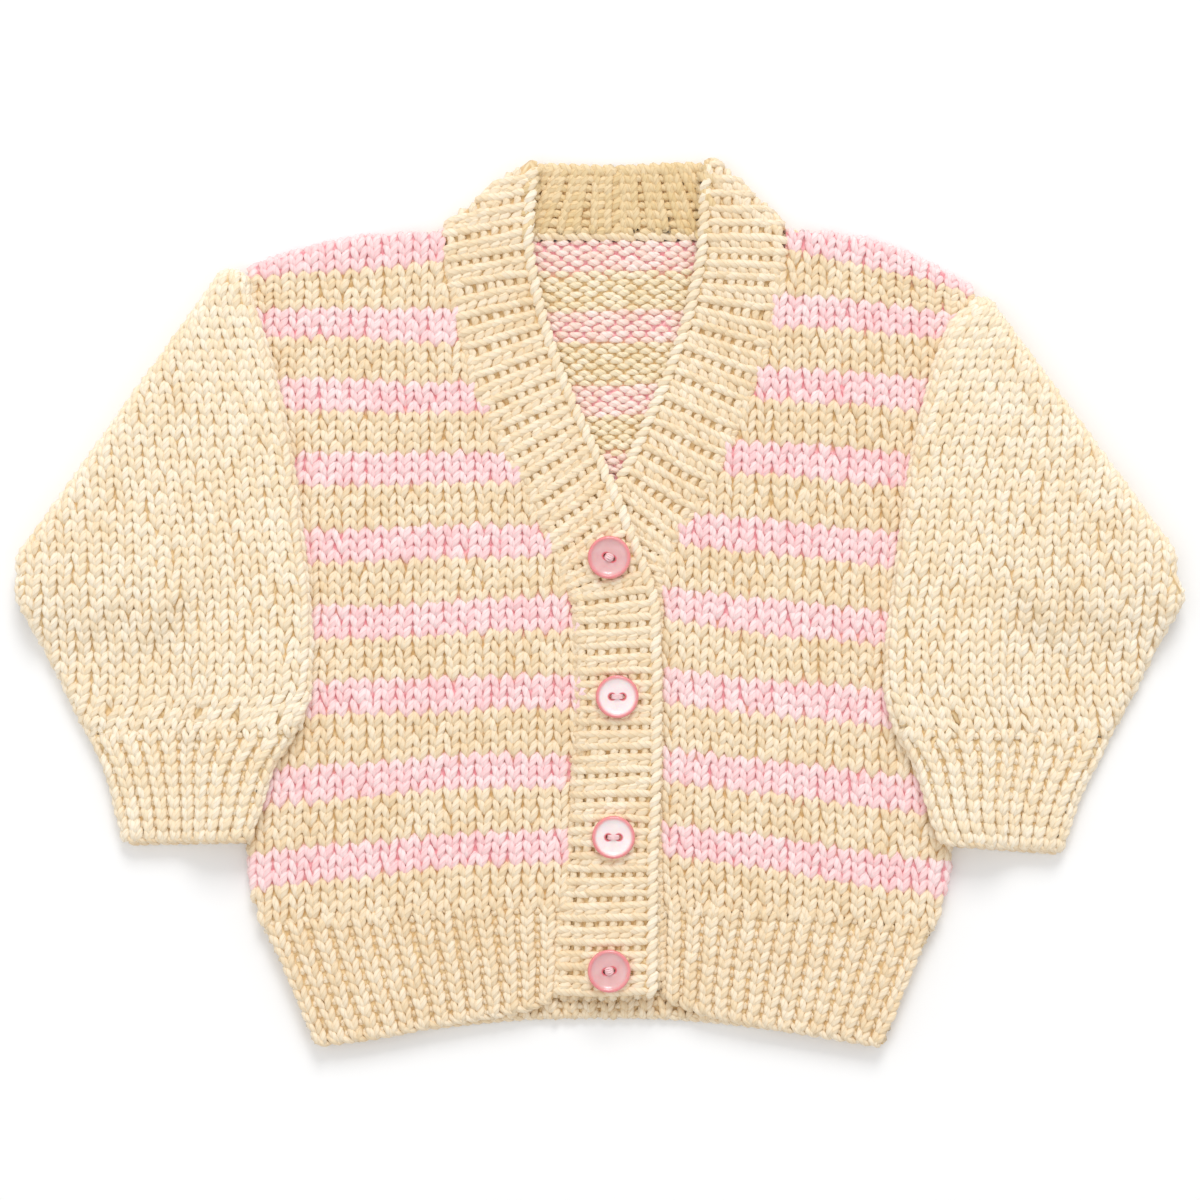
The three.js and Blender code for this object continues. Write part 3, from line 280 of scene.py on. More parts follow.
class Plan:
    """A CAD piece, or several joined ones, seen from above, in mm: outline, the way in from it, and the upper face."""

    CELL = 1.5
    MARGIN = 15.0

    def __init__(self, *nodes):
        points, triangles = [], []
        for name in nodes:
            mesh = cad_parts[name].data
            mesh.calc_loop_triangles()
            triangles += [tuple(k + len(points) for k in t.vertices) for t in mesh.loop_triangles]
            points += [tuple(v.co / MM) for v in mesh.vertices]
        self.points = np.array(points)
        self.tree = BVHTree.FromPolygons(points, triangles)
        ids = np.array(triangles)
        self.edges = self.points[np.concatenate([ids[:, [0, 1]], ids[:, [1, 2]], ids[:, [2, 0]]])][:, :, :2]
        self.low, self.high = self.points[:, :2].min(0), self.points[:, :2].max(0)
        self.spans = [self._span(axis) for axis in (0, 1)]
        self._distances()

    def _span(self, axis):
        """For levels along an axis, how far the piece reaches each way on the other one."""
        levels = np.arange(self.low[axis] + 0.05, self.high[axis], 0.5)
        a, b = self.edges[:, 0, axis], self.edges[:, 1, axis]
        ends = []
        for level in levels:
            hit = (np.minimum(a, b) <= level) & (np.maximum(a, b) > level)
            share = (level - a[hit]) / (b[hit] - a[hit])
            other = self.edges[hit, 0, 1 - axis] * (1 - share) + self.edges[hit, 1, 1 - axis] * share
            ends.append((other.min(), other.max()))
        return levels, np.array(ends)

    def reach(self, axis, level):
        """How far the piece reaches each way at a level along an axis."""
        levels, ends = self.spans[axis]
        return np.interp(level, levels, ends[:, 0]), np.interp(level, levels, ends[:, 1])

    def _distances(self):
        """Distances to the outline on a grid, more than 0 inside."""
        outline = []
        for axis, (levels, ends) in enumerate(self.spans):
            for end in (0, 1):
                pair = [levels, ends[:, end]]
                outline.append(np.stack(pair if axis == 0 else pair[::-1], 1))
        outline = np.concatenate(outline)
        self.start = self.low - self.MARGIN
        self.size = np.ceil((self.high + self.MARGIN - self.start) / self.CELL).astype(int) + 1
        xs, ys = (self.start[i] + self.CELL * np.arange(self.size[i]) for i in (0, 1))
        self.grid = np.zeros(self.size)
        for i, x in enumerate(xs):
            away = np.sqrt(((np.stack([np.full_like(ys, x), ys], 1)[:, None] - outline[None]) ** 2).sum(2)).min(1)
            left, right = self.reach(1, ys)
            bottom, top = self.reach(0, np.full_like(ys, x))
            inside = (x > left) & (x < right) & (ys > bottom) & (ys < top)
            inside &= (ys > self.low[1]) & (ys < self.high[1]) & (x > self.low[0]) & (x < self.high[0])
            self.grid[i] = np.where(inside, away, -away)

    def inset(self, plan):
        """Distance inside the outline."""
        place = (plan - self.start) / self.CELL
        cell = np.clip(np.floor(place).astype(int), 0, self.size - 2)
        share = np.clip(place - cell, 0, 1)
        (i, j), (u, v) = cell.T, share.T
        low = self.grid[i, j] * (1 - u) + self.grid[i + 1, j] * u
        high = self.grid[i, j + 1] * (1 - u) + self.grid[i + 1, j + 1] * u
        return low * (1 - v) + high * v

    def inward(self, plan):
        """The way in from the outline."""
        step = 1.6
        way = np.stack([
            self.inset(plan + [step, 0]) - self.inset(plan - [step, 0]),
            self.inset(plan + [0, step]) - self.inset(plan - [0, step]),
        ], 1)
        return way / np.maximum(np.linalg.norm(way, axis=1, keepdims=True), 1e-6)

    def height(self, plan):
        """Height of the upper face, and NaN where the piece isn't there."""
        found = np.full(len(plan), np.nan)
        for k, (x, y) in enumerate(plan):
            hit = self.tree.ray_cast(Vector((x, y, SKY)), Vector((0, 0, -1)))
            if hit[0] is not None:
                found[k] = hit[0].z
        return found

    def bridged(self, plan, reach=1.7):
        """Height of the upper face, carried level over a seam."""
        around = [(0, 0), (reach, 0), (-reach, 0), (0, reach), (0, -reach)]
        return np.nanmax([self.height(plan + step) for step in around] + [np.full(len(plan), -1.0)], axis=0)

    def drape(self, plan, rim, most=2.6, seams=None):
        """Points on the piece, and the way out of it, for places in plan. Places past the outline turn down round the rim,
        and those at seams keep level."""
        rim = np.broadcast_to(rim, len(plan))
        past = rim - self.inset(plan)
        way = self.inward(plan)
        turned = np.clip(past / rim, 0, most)
        start = plan + way * np.maximum(past, 0)[:, None]
        tops = self.height(start)
        lost = np.isnan(tops)
        tops[lost] = self.height(start[lost] + way[lost] * 1.5)
        tops = between(tops)
        if seams is not None and seams.any():
            tops[seams] = np.maximum(tops[seams], self.bridged(start[seams]))
        spot = start - way * (rim * np.sin(turned))[:, None]
        out = np.concatenate([-way * np.sin(turned)[:, None], np.cos(turned)[:, None]], 1)
        return np.column_stack([spot, tops - rim * (1 - np.cos(turned))]), out


def wandering(spots):
    """How far hand knitting is out of true at places in mm: long, smooth bends."""
    x, y = spots[..., 0], spots[..., 1]
    aside = np.sin(y / 8.5 + 1.7 * np.sin(x / 21)) + 0.6 * np.sin(x / 6.1 + y / 14)
    up = np.sin(x / 9.5 + 1.4 * np.sin(y / 17)) + 0.6 * np.sin(y / 6.7 - x / 13)
    return WANDER * np.stack([aside, up], -1)


def yarns(name, spots, outs, thick, slots, materials, seed, sides=6, floor=True):
    """One mesh of many short lengths of yarn. spots is (yarns, points, 3) in mm, and outs the way out of the cloth."""
    rng = np.random.default_rng(seed)
    count, length = spots.shape[:2]
    along = np.gradient(spots, axis=1)
    along /= np.maximum(np.linalg.norm(along, axis=2, keepdims=True), 1e-9)
    across = np.cross(along, outs)
    across /= np.maximum(np.linalg.norm(across, axis=2, keepdims=True), 1e-9)
    upward = np.cross(across, along)
    angles = 2 * np.pi * np.arange(sides) / sides + np.pi / sides
    ring = across[:, :, None] * np.cos(angles)[None, None, :, None] + upward[:, :, None] * np.sin(angles)[None, None, :, None]
    points = spots[:, :, None] + ring * np.broadcast_to(thick, (count, length))[:, :, None, None]
    if floor:
        points[..., 2] = np.maximum(points[..., 2], 0.05)
    first = (np.arange(count)[:, None, None] * length + np.arange(length - 1)[None, :, None]) * sides
    a, b = first + np.arange(sides), first + (np.arange(sides) + 1) % sides
    faces = np.stack([a, b, b + sides, a + sides], 3).reshape(-1, 4)
    mesh = bpy.data.meshes.new(name)
    mesh.vertices.add(count * length * sides)
    mesh.vertices.foreach_set("co", (points * MM).astype(np.float32).ravel())
    mesh.loops.add(faces.size)
    mesh.loops.foreach_set("vertex_index", faces.astype(np.int32).ravel())
    mesh.polygons.add(len(faces))
    mesh.polygons.foreach_set("loop_start", np.arange(0, faces.size, 4, dtype=np.int32))
    mesh.polygons.foreach_set("material_index", np.repeat(slots, (length - 1) * sides).astype(np.int32))
    mesh.polygons.foreach_set("use_smooth", np.ones(len(faces), bool))
    steps = np.linalg.norm(np.diff(spots, axis=1), axis=2)
    run = np.concatenate([np.zeros((count, 1)), np.cumsum(steps, 1)], 1) + rng.uniform(0, 10, (count, 1))
    corner_u = np.broadcast_to(np.stack([np.arange(sides), np.arange(sides) + 1, np.arange(sides) + 1, np.arange(sides)], 1)
                               / sides, (count, length - 1, sides, 4))
    corner_v = np.stack([run[:, :-1], run[:, :-1], run[:, 1:], run[:, 1:]], 2)[:, :, None, :]
    uv = np.stack([corner_u, np.broadcast_to(corner_v, corner_u.shape)], 4)
    mesh.uv_layers.new(name="yarn").data.foreach_set("uv", uv.astype(np.float32).ravel())
    tone = mesh.attributes.new("tone", "FLOAT", "POINT")
    tone.data.foreach_set("value", np.repeat(rng.uniform(0, 1, count), length * sides).astype(np.float32))
    mesh.update(calc_edges=True)
    mesh.validate()
    for material in materials:
        mesh.materials.append(material)
    piece = bpy.data.objects.new(name, mesh)
    bpy.context.scene.collection.objects.link(piece)
    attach(piece, "root")
    return piece


def lay(shape, cells, place, sides_too=True, uneven=0.0, rng=None, sway=1.0):
    """Places for the yarns of stitches at cells of (column, row). place turns those into mm. Each stitch gets one yarn,
    or two that mirror each other. sway is how far they shift aside, next to how far they shift up."""
    table = rows_of(shape)
    mirror = np.array([-1.0, 1.0]) if sides_too else np.array([1.0])
    cells = np.repeat(np.asarray(cells, float), len(mirror), axis=0)
    mirror = np.tile(mirror, len(cells) // len(mirror))
    shift = rng.normal(0, uneven, (len(cells), 2)) if uneven else np.zeros((len(cells), 2))
    column = cells[:, :1] + mirror[:, None] * table[None, :, 0] + shift[:, :1] * sway
    row = cells[:, 1:] + table[None, :, 1] + shift[:, 1:]
    swell = 1 + (rng.normal(0, uneven, (len(cells), 1)) if uneven else 0)
    return place(column, row), table[None, :, 2] * swell, table[None, :, 3] * swell


def node(tree, kind, links=None, **settings):
    """Adds a node. Settings are its properties, or values of its inputs by name or number after input_."""
    made = tree.nodes.new(kind)
    for key, value in settings.items():
        if key.startswith("input_"):
            spot = key[6:]
            made.inputs[int(spot) if spot.isdigit() else spot.replace("_", " ")].default_value = value
        else:
            setattr(made, key, value)
    for spot, source in (links or {}).items():
        tree.links.new(source, made.inputs[spot])
    return made


def fresh(name):
    material = bpy.data.materials.new(name)
    material.use_nodes = True
    material.node_tree.nodes.clear()
    return material, material.node_tree


def finished(tree, shader):
    node(tree, "ShaderNodeOutputMaterial", {"Surface": shader.outputs[0]})


def yarn_material(name, colour, shade, light):
    """Aran-weight yarn of soft acrylic, spun from four plies.
    Its fine fibres scatter light, so it is matt with a soft sheen, and the twist shows as slanting furrows, bumped and
    with painted shade in them."""
    material, tree = fresh(name)
    uv = node(tree, "ShaderNodeUVMap", uv_map="yarn")
    split = node(tree, "ShaderNodeSeparateXYZ", {0: uv.outputs[0]})
    # Four plies, each turning once round the yarn in 9 mm
    turns = node(tree, "ShaderNodeMath", {0: split.outputs[0]}, operation="MULTIPLY", input_1=4.0)
    slope = node(tree, "ShaderNodeMath", {0: split.outputs[1]}, operation="MULTIPLY", input_1=4.0 / 9.0)
    phase = node(tree, "ShaderNodeMath", {0: turns.outputs[0], 1: slope.outputs[0]}, operation="ADD")
    circle = node(tree, "ShaderNodeMath", {0: phase.outputs[0]}, operation="MULTIPLY", input_1=math.pi)
    wave = node(tree, "ShaderNodeMath", {0: circle.outputs[0]}, operation="SINE")
    ply = node(tree, "ShaderNodeMath", {0: wave.outputs[0]}, operation="ABSOLUTE")
    place = node(tree, "ShaderNodeTexCoord")
    fibre = node(tree, "ShaderNodeTexNoise", {"Vector": place.outputs["Object"]}, input_Scale=2600.0, input_Detail=3.0)
    cloud = node(tree, "ShaderNodeTexNoise", {"Vector": place.outputs["Object"]}, input_Scale=45.0, input_Detail=2.0)
    tone = node(tree, "ShaderNodeAttribute", attribute_name="tone")
    mixed = node(tree, "ShaderNodeMath", {0: tone.outputs["Fac"], 1: cloud.outputs[0]}, operation="ADD")
    body = node(tree, "ShaderNodeMapRange", {0: mixed.outputs[0]}, input_1=0.3, input_2=1.7)
    base = node(tree, "ShaderNodeMix", {"Factor": body.outputs[0]}, data_type="RGBA", input_6=colour, input_7=light)
    # Painted shade: the furrows between the plies are mixed towards the shade colour
    furrow = node(tree, "ShaderNodeMapRange", {0: ply.outputs[0]}, input_1=0.0, input_2=0.45, input_3=0.42, input_4=0.0)
    with_furrow_shade = node(tree, "ShaderNodeMix", {"Factor": furrow.outputs[0], 6: base.outputs[2]}, data_type="RGBA", input_7=shade)
    relief = node(tree, "ShaderNodeMath", {0: fibre.outputs[0], 2: ply.outputs[0]}, operation="MULTIPLY_ADD", input_1=0.35)
    bump = node(tree, "ShaderNodeBump", {"Height": relief.outputs[0]}, input_Strength=0.45, input_Distance=0.00022)
    shader = node(tree, "ShaderNodeBsdfPrincipled", {"Base Color": with_furrow_shade.outputs[2], "Normal": bump.outputs[0]},
                  input_Roughness=0.78, input_IOR=1.47)
    shader.inputs["Sheen Weight"].default_value = 0.25
    shader.inputs["Sheen Roughness"].default_value = 0.5
    shader.inputs["Specular IOR Level"].default_value = 0.3
    finished(tree, shader)
    return material


def ground_material(name, colour, shade, pink=None, pink_shade=None):
    """The knitted cloth under the visible stitches, and the plain undersides.
    It is the same yarn, in the shade of the stitches above, with its own small chevrons of stocking stitch. Its colours
    carry painted shade: a little deeper than the yarn's, as in the shaded gaps between the stitches, and darker still
    in the chevrons' grooves."""
    material, tree = fresh(name)
    place = node(tree, "ShaderNodeTexCoord")
    split = node(tree, "ShaderNodeSeparateXYZ", {0: place.outputs["Object"]})
    # Columns 5.46 mm and rows 3.78 mm apart, as the stitches are
    column = node(tree, "ShaderNodeMath", {0: split.outputs[0]}, operation="MULTIPLY", input_1=1 / 0.00546)
    saw = node(tree, "ShaderNodeMath", {0: column.outputs[0]}, operation="PINGPONG", input_1=0.5)
    row = node(tree, "ShaderNodeMath", {0: split.outputs[1]}, operation="MULTIPLY", input_1=1 / 0.00378)
    slant = node(tree, "ShaderNodeMath", {0: saw.outputs[0], 2: row.outputs[0]}, operation="MULTIPLY_ADD", input_1=-2.2)
    fold = node(tree, "ShaderNodeMath", {0: slant.outputs[0]}, operation="PINGPONG", input_1=0.5)
    middle = node(tree, "ShaderNodeMath", {0: saw.outputs[0]}, operation="PINGPONG", input_1=0.25)
    height = node(tree, "ShaderNodeMath", {0: fold.outputs[0], 1: middle.outputs[0]}, operation="ADD")
    level = node(tree, "ShaderNodeMapRange", {0: height.outputs[0]}, input_1=0.1, input_2=0.55)
    cloud = node(tree, "ShaderNodeTexNoise", {"Vector": place.outputs["Object"]}, input_Scale=300.0, input_Detail=3.0)
    # Painted shade: each colour is mixed towards its shade colour in the chevrons' grooves
    top = node(tree, "ShaderNodeMix", {"Factor": level.outputs[0]}, data_type="RGBA", input_6=shade, input_7=colour)
    if pink:
        dye = node(tree, "ShaderNodeAttribute", attribute_name="dye")
        rose = node(tree, "ShaderNodeMix", {"Factor": level.outputs[0]}, data_type="RGBA", input_6=pink_shade, input_7=pink)
        top = node(tree, "ShaderNodeMix", {"Factor": dye.outputs["Fac"], 6: top.outputs[2], 7: rose.outputs[2]},
                   data_type="RGBA")
    relief = node(tree, "ShaderNodeMath", {0: cloud.outputs[0], 2: level.outputs[0]}, operation="MULTIPLY_ADD", input_1=0.3)
    bump = node(tree, "ShaderNodeBump", {"Height": relief.outputs[0]}, input_Strength=0.5, input_Distance=0.0012)
    shader = node(tree, "ShaderNodeBsdfPrincipled", {"Base Color": top.outputs[2], "Normal": bump.outputs[0]},
                  input_Roughness=0.85, input_IOR=1.47)
    shader.inputs["Sheen Weight"].default_value = 0.2
    finished(tree, shader)
    return material


def palette():
    """The scene's materials, made once."""
    if "materials" in STORE:
        return STORE["materials"]
    settings = bpy.context.scene.cardigan
    cream, pink = [*settings.cream, 1.0], [*settings.pink, 1.0]
    made = {
        "cream": yarn_material("four_ply_spun_yarn_cream", cream, linear("#ddb67f"), linear("#faebd2")),
        # Painted light: a lighter, lit copy of the same cream yarn, used on the sleeves, the cuffs and the bands' free
        # edges
        "painted_light_cream": yarn_material("four_ply_spun_yarn_cream_painted_light", linear("#f4dfbc"), linear("#e4c18c"),
                                     linear("#fdf2de")),
        "pink": yarn_material("four_ply_spun_yarn_pink", pink, linear("#f3a5ab"), linear("#ffe9e8")),
        "cream_inside": yarn_material("four_ply_spun_yarn_cream_purl", linear("#f0dcb4"), linear("#d2ae74"),
                                      linear("#faedd4")),
        "pink_inside": yarn_material("four_ply_spun_yarn_pink_purl", linear("#fad9ca"), linear("#e8a698"),
                                     linear("#ffede7")),
        # Painted shade: a darker, shaded copy of the same cream yarn, for the part of the bands round the neck
        "painted_shade_cream_neck": yarn_material("four_ply_spun_yarn_cream_neckband", linear("#e4c895"), linear("#c49a5c"),
                                    linear("#efd8b0")),
        # Painted shade: the ground shows in the gaps between stitches, so its colours are deeper than the yarn's, as in
        # shade
        "ground": ground_material("knitted_ground_cream", linear("#f0d7aa"), linear("#dfba84")),
        "striped": ground_material("knitted_ground_striped", linear("#eed3a3"), linear("#dab27a"), linear("#fcc0c5"),
                                   linear("#f09ba3")),
    }
    STORE["materials"] = made
    return made


STORE = {}


def plan_of(*names):
    if names not in STORE:
        STORE[names] = Plan(*names)
    return STORE[names]


def cloth(name, material, inset=0.7, cuts=0, dye=None):
    """The cloth of one piece: its solid's form, drawn in a little so that the stitches stand on it."""
    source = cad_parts[name].data
    source.calc_loop_triangles()
    points = np.array([v.co for v in source.vertices])
    _, first, same = np.unique(np.round(points / 1e-6).astype(np.int64), axis=0, return_index=True, return_inverse=True)
    points, ids = points[first], same.ravel()[np.array([t.vertices for t in source.loop_triangles])]
    a, b, c = (points[ids[:, k]] for k in range(3))
    normals = np.zeros_like(points)
    for k in range(3):
        np.add.at(normals, ids[:, k], np.cross(b - a, c - a))
    normals /= np.maximum(np.linalg.norm(normals, axis=1, keepdims=True), 1e-12)
    moved = points - normals * inset * MM
    moved[:, 2] = np.where(points[:, 2] < 0.0002, points[:, 2], moved[:, 2])
    mesh = bpy.data.meshes.new(name + "_cloth")
    mesh.from_pydata(moved.tolist(), [], ids.tolist())
    if cuts:
        form = bmesh.new()
        form.from_mesh(mesh)
        bmesh.ops.subdivide_edges(form, edges=form.edges, cuts=cuts, use_grid_fill=True)
        form.to_mesh(mesh)
        form.free()
    if dye:
        spots = np.array([v.co for v in mesh.vertices]) / MM
        mesh.attributes.new("dye", "FLOAT", "POINT").data.foreach_set("value", dye(spots).astype(np.float32))
    mesh.polygons.foreach_set("use_smooth", np.ones(len(mesh.polygons), bool))
    mesh.materials.append(material)
    mesh.update()
    piece = bpy.data.objects.new(name + "_cloth", mesh)
    bpy.context.scene.collection.objects.link(piece)
    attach(piece, "root")
    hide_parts(name)
    return piece


def sizes():
    settings = bpy.context.scene.cardigan
    return settings.stitch_width / MM, settings.row_height / MM, settings.yarn_radius / MM, settings.unevenness


def stripe_place(table, side):
    """Turns (column, row) into mm on a striped panel. Columns run up the panel, and rows follow the stripes."""
    wide = sizes()[0]
    centres = rows_of(table["stripes"])
    stations = table["across"]

    def place(column, row):
        x = column * wide
        count = (-row - PINK_ROWS / 2) / STRIPE_ROWS
        low = np.clip(np.floor(count).astype(int), 0, len(centres) - 2)
        heights = centres[low] + (centres[low + 1] - centres[low]) * (count - low)[..., None]
        total = sum(across_share(stations, i, x) * heights[..., i] for i in range(3))
        return np.stack([x, total], -1)

    return place


def is_pink(row):
    """Whether a row of the stripes, counted down from the top of the first one, is pink."""
    count = np.floor(-row).astype(int)
    return (count >= 0) & (count % STRIPE_ROWS < PINK_ROWS) & (count < STRIPE_ROWS * STRIPES)


def pinkness(table):
    """How pink the cloth is at places in mm: 1 in a stripe, 0 out of it."""
    def dye(spots):
        middles = rows_of(table["stripes"])
        weights = [across_share(table["across"], i, spots[:, 0]) for i in range(3)]
        heights = sum(weights[i][:, None] * middles[None, :, i] for i in range(3))
        gaps = np.abs(heights - spots[:, 1:2]).min(1)
        return 1 - smooth(4.6, 6.8, gaps)

    return dye


def across_share(stations, i, x):
    """The weight of one of three stations at x, so that they make one curve."""
    one, other = [stations[j] for j in range(3) if j != i]
    return (x - one) * (x - other) / ((stations[i] - one) * (stations[i] - other))


def knit(name, plan, place, cells, rim, slots, materials, seed, shape=None, hidden=(), turn=2.0, mirrored=True, thick=1.0,
         lift=0.1, over=None, sway=1.0):
    """Knits stitches over a piece and returns their mesh. over is the piece together with those that it is joined to."""
    over = over or plan
    radius, uneven = sizes()[2] * thick, sizes()[3]
    rng = np.random.default_rng(seed)
    centres = place(cells[:, :1], cells[:, 1:])[:, 0]
    rims = rim(centres) if callable(rim) else np.full(len(cells), rim)
    joined = over.inset(centres) > np.maximum(rims, SEAM_REACH)
    keep = plan.inset(centres) > np.where(joined, -0.5, rims * (1 - turn))
    for cover, depth in hidden:
        keep &= cover.inset(centres) < depth
    cells, rims, slots = cells[keep], rims[keep], slots[keep]
    spots, lifts, thicks = lay(shape or LEG, cells, place, mirrored, uneven, rng, sway)
    spots = spots + wandering(spots)
    per = 2 if mirrored else 1
    rims = np.repeat(rims, per * spots.shape[1])
    flat = spots.reshape(-1, 2)
    seams = (plan.inset(flat) < SEAM_REACH) & (over.inset(flat) > SEAM_REACH) if over is not plan else None
    points, outs = over.drape(flat, rims, seams=seams)
    lifts = np.broadcast_to(lifts * radius + lift, spots.shape[:2]).reshape(-1, 1)
    points = (points + outs * lifts).reshape(*spots.shape[:2], 3)
    outs = outs.reshape(*spots.shape[:2], 3)
    return yarns(name, points, outs, thicks * radius, np.repeat(slots, per), materials, seed)


def grid_cells(columns, rows):
    return np.array([(c + 0.5, r + 0.5) for r in rows for c in columns], float)


def fold_rim(sign):
    """The rim of a sleeve: its own thickness, and twice that along the slanting fold where it lies on itself."""
    start, end = np.array([sign * 126.5, 112.0]), np.array([sign * 200.5, 10.0])
    return lambda spots: 2.8 + 2.7 * (1 - smooth(5, 16, away_from(spots, start, end)))


def sleeve_place(plan, sign, eyelets):
    """Columns follow the sleeve's inner edge, and straighten towards the outer one. Stitches make room for the eyelets."""
    wide, tall = sizes()[:2]
    levels = np.linspace(-44, 104, 60)
    ends = plan.reach(1, levels)[0 if sign > 0 else 1]
    ends = np.convolve(np.pad(ends, 3, mode="edge"), np.ones(7) / 7, mode="valid")

    def place(column, row):
        y = row * tall
        edge = np.interp(y, levels, ends)
        pull = np.exp(-np.maximum(column, 0) * wide / 70)
        x = sign * 101.5 + (edge - sign * 101.5) * pull + sign * column * wide
        spots = np.stack([x, y + 0.04 * np.abs(x - sign * 150)], -1)
        for hole in eyelets:
            away = spots - hole
            gap = np.maximum(np.linalg.norm(away, axis=-1, keepdims=True), 0.3)
            spots = spots + away / gap * (EYELET_PUSH * np.exp(-(gap / EYELET_REACH) ** 2))
        return spots

    return place


def level_place(plan, ribs, rows, lower, upper, inset):
    """Ribs fan between a piece's side edges. lower and upper are the heights of its ends, each at its left and right."""
    def place(column, row):
        u, v = column / ribs, row / rows
        y = (lower[0] * (1 - u) + lower[1] * u) * (1 - v) + (upper[0] * (1 - u) + upper[1] * u) * v
        left, right = plan.reach(1, np.clip(y, plan.low[1] + 3.5, plan.high[1] - 4.5))
        return np.stack([left + inset + (right - left - 2 * inset) * u, y], -1)

    return place


def band_place(table, rows=BAND_ROWS):
    """Turns (rib, row) into mm along a ribbed strip, and rows from its seam or hem to its other edge."""
    data = rows_of(table)
    places = np.linspace(0, len(data) - 1, 40 * (len(data) - 1) + 1)
    counts = at(data, places)[:, 4]

    def place(column, row):
        spot = at(data, np.interp(column, counts, places))
        beyond = np.clip(column - counts[-1], 0, None) + np.clip(column - counts[0], None, 0)
        pitch = (data[-1] - data[0]) / (counts[-1] - counts[0])
        spot = spot + beyond[..., None] * pitch
        u = row / rows
        x = spot[..., 0] + (spot[..., 2] - spot[..., 0]) * u
        y = spot[..., 1] + (spot[..., 3] - spot[..., 1]) * u - CENTRE_UP
        return np.stack([x, y], -1)

    return place


def rib_knit(name, plan, place, ribs, rows, seed, rim, hidden=(), turn=1.9, leg=None, bump=0.42, thick=1.0, colour="cream",
             over=None, sink=0.0, low=0.9):
    """Ribbing: a column of knit stitches on each rib, and purl bumps in the furrows between them. In a band, whose legs lie
    apart, low strands join them. low is how thick the yarn looks in the furrows."""
    materials = [palette()[colour]]
    cells = np.array([(c + 0.5, r + 0.5) for c in ribs for r in rows], float)
    bumps = np.array([(c, r + 0.5) for c in [*ribs, ribs[-1] + 1] for r in rows], float)
    purl = [{**row, "aside": row["aside"] * bump} for row in PURL]
    none = np.zeros(len(bumps), int)
    pieces = [
        knit(name + "_ribs", plan, place, cells, rim, none[:len(cells)], materials, seed, leg or WELT_LEG, hidden, turn,
             thick=thick, over=over, sway=0.25 if leg else 0.5),
        knit(name + "_furrows", plan, place, bumps, rim, none, materials, seed + 1, purl, hidden, turn, mirrored=False,
             thick=low, lift=-0.2 - sink, over=over, sway=0.4),
    ]
    if leg:
        pieces.append(knit(name + "_crotches", plan, place, cells, rim, none[:len(cells)], materials, seed + 2, CROTCH, hidden,
                           turn, mirrored=False, thick=low, over=over, sway=0.4))
    return pieces


def links(name, line, outs, material, seed, pitch=3.6, radius=1.25, lean=0.35, arch=0.8):
    """A chain of slanting links along a line, as a cast-on or bound-off edge has. line is in mm."""
    steps = np.linalg.norm(np.diff(line, axis=0), axis=1)
    run = np.concatenate([[0], np.cumsum(steps)])
    count = max(int(run[-1] / pitch), 1)
    shares = np.array([-0.66, -0.32, 0.0, 0.32, 0.66])
    rng = np.random.default_rng(seed)
    where = (np.arange(count)[:, None] + 0.5 + shares[None] + rng.normal(0, 0.04, (count, 1))) * run[-1] / count
    spots = np.stack([np.interp(where, run, line[:, k]) for k in range(3)], -1)
    ups = np.stack([np.interp(where, run, outs[:, k]) for k in range(3)], -1)
    ups /= np.linalg.norm(ups, axis=2, keepdims=True)
    way = np.gradient(spots, axis=1)
    way /= np.maximum(np.linalg.norm(way, axis=2, keepdims=True), 1e-9)
    aside = np.cross(way, ups)
    slant = np.array([-1.0, -0.55, 0.0, 0.55, 1.0]) * lean * radius * 2
    rise = np.array([-arch, 0.05, 0.2, 0.05, -arch]) * radius
    spots = spots + aside * slant[None, :, None] + ups * rise[None, :, None]
    thick = np.array([0.66, 0.94, 1.0, 0.94, 0.66]) * radius
    return yarns(name, spots, ups, thick[None], np.zeros(count, int), [material], seed)


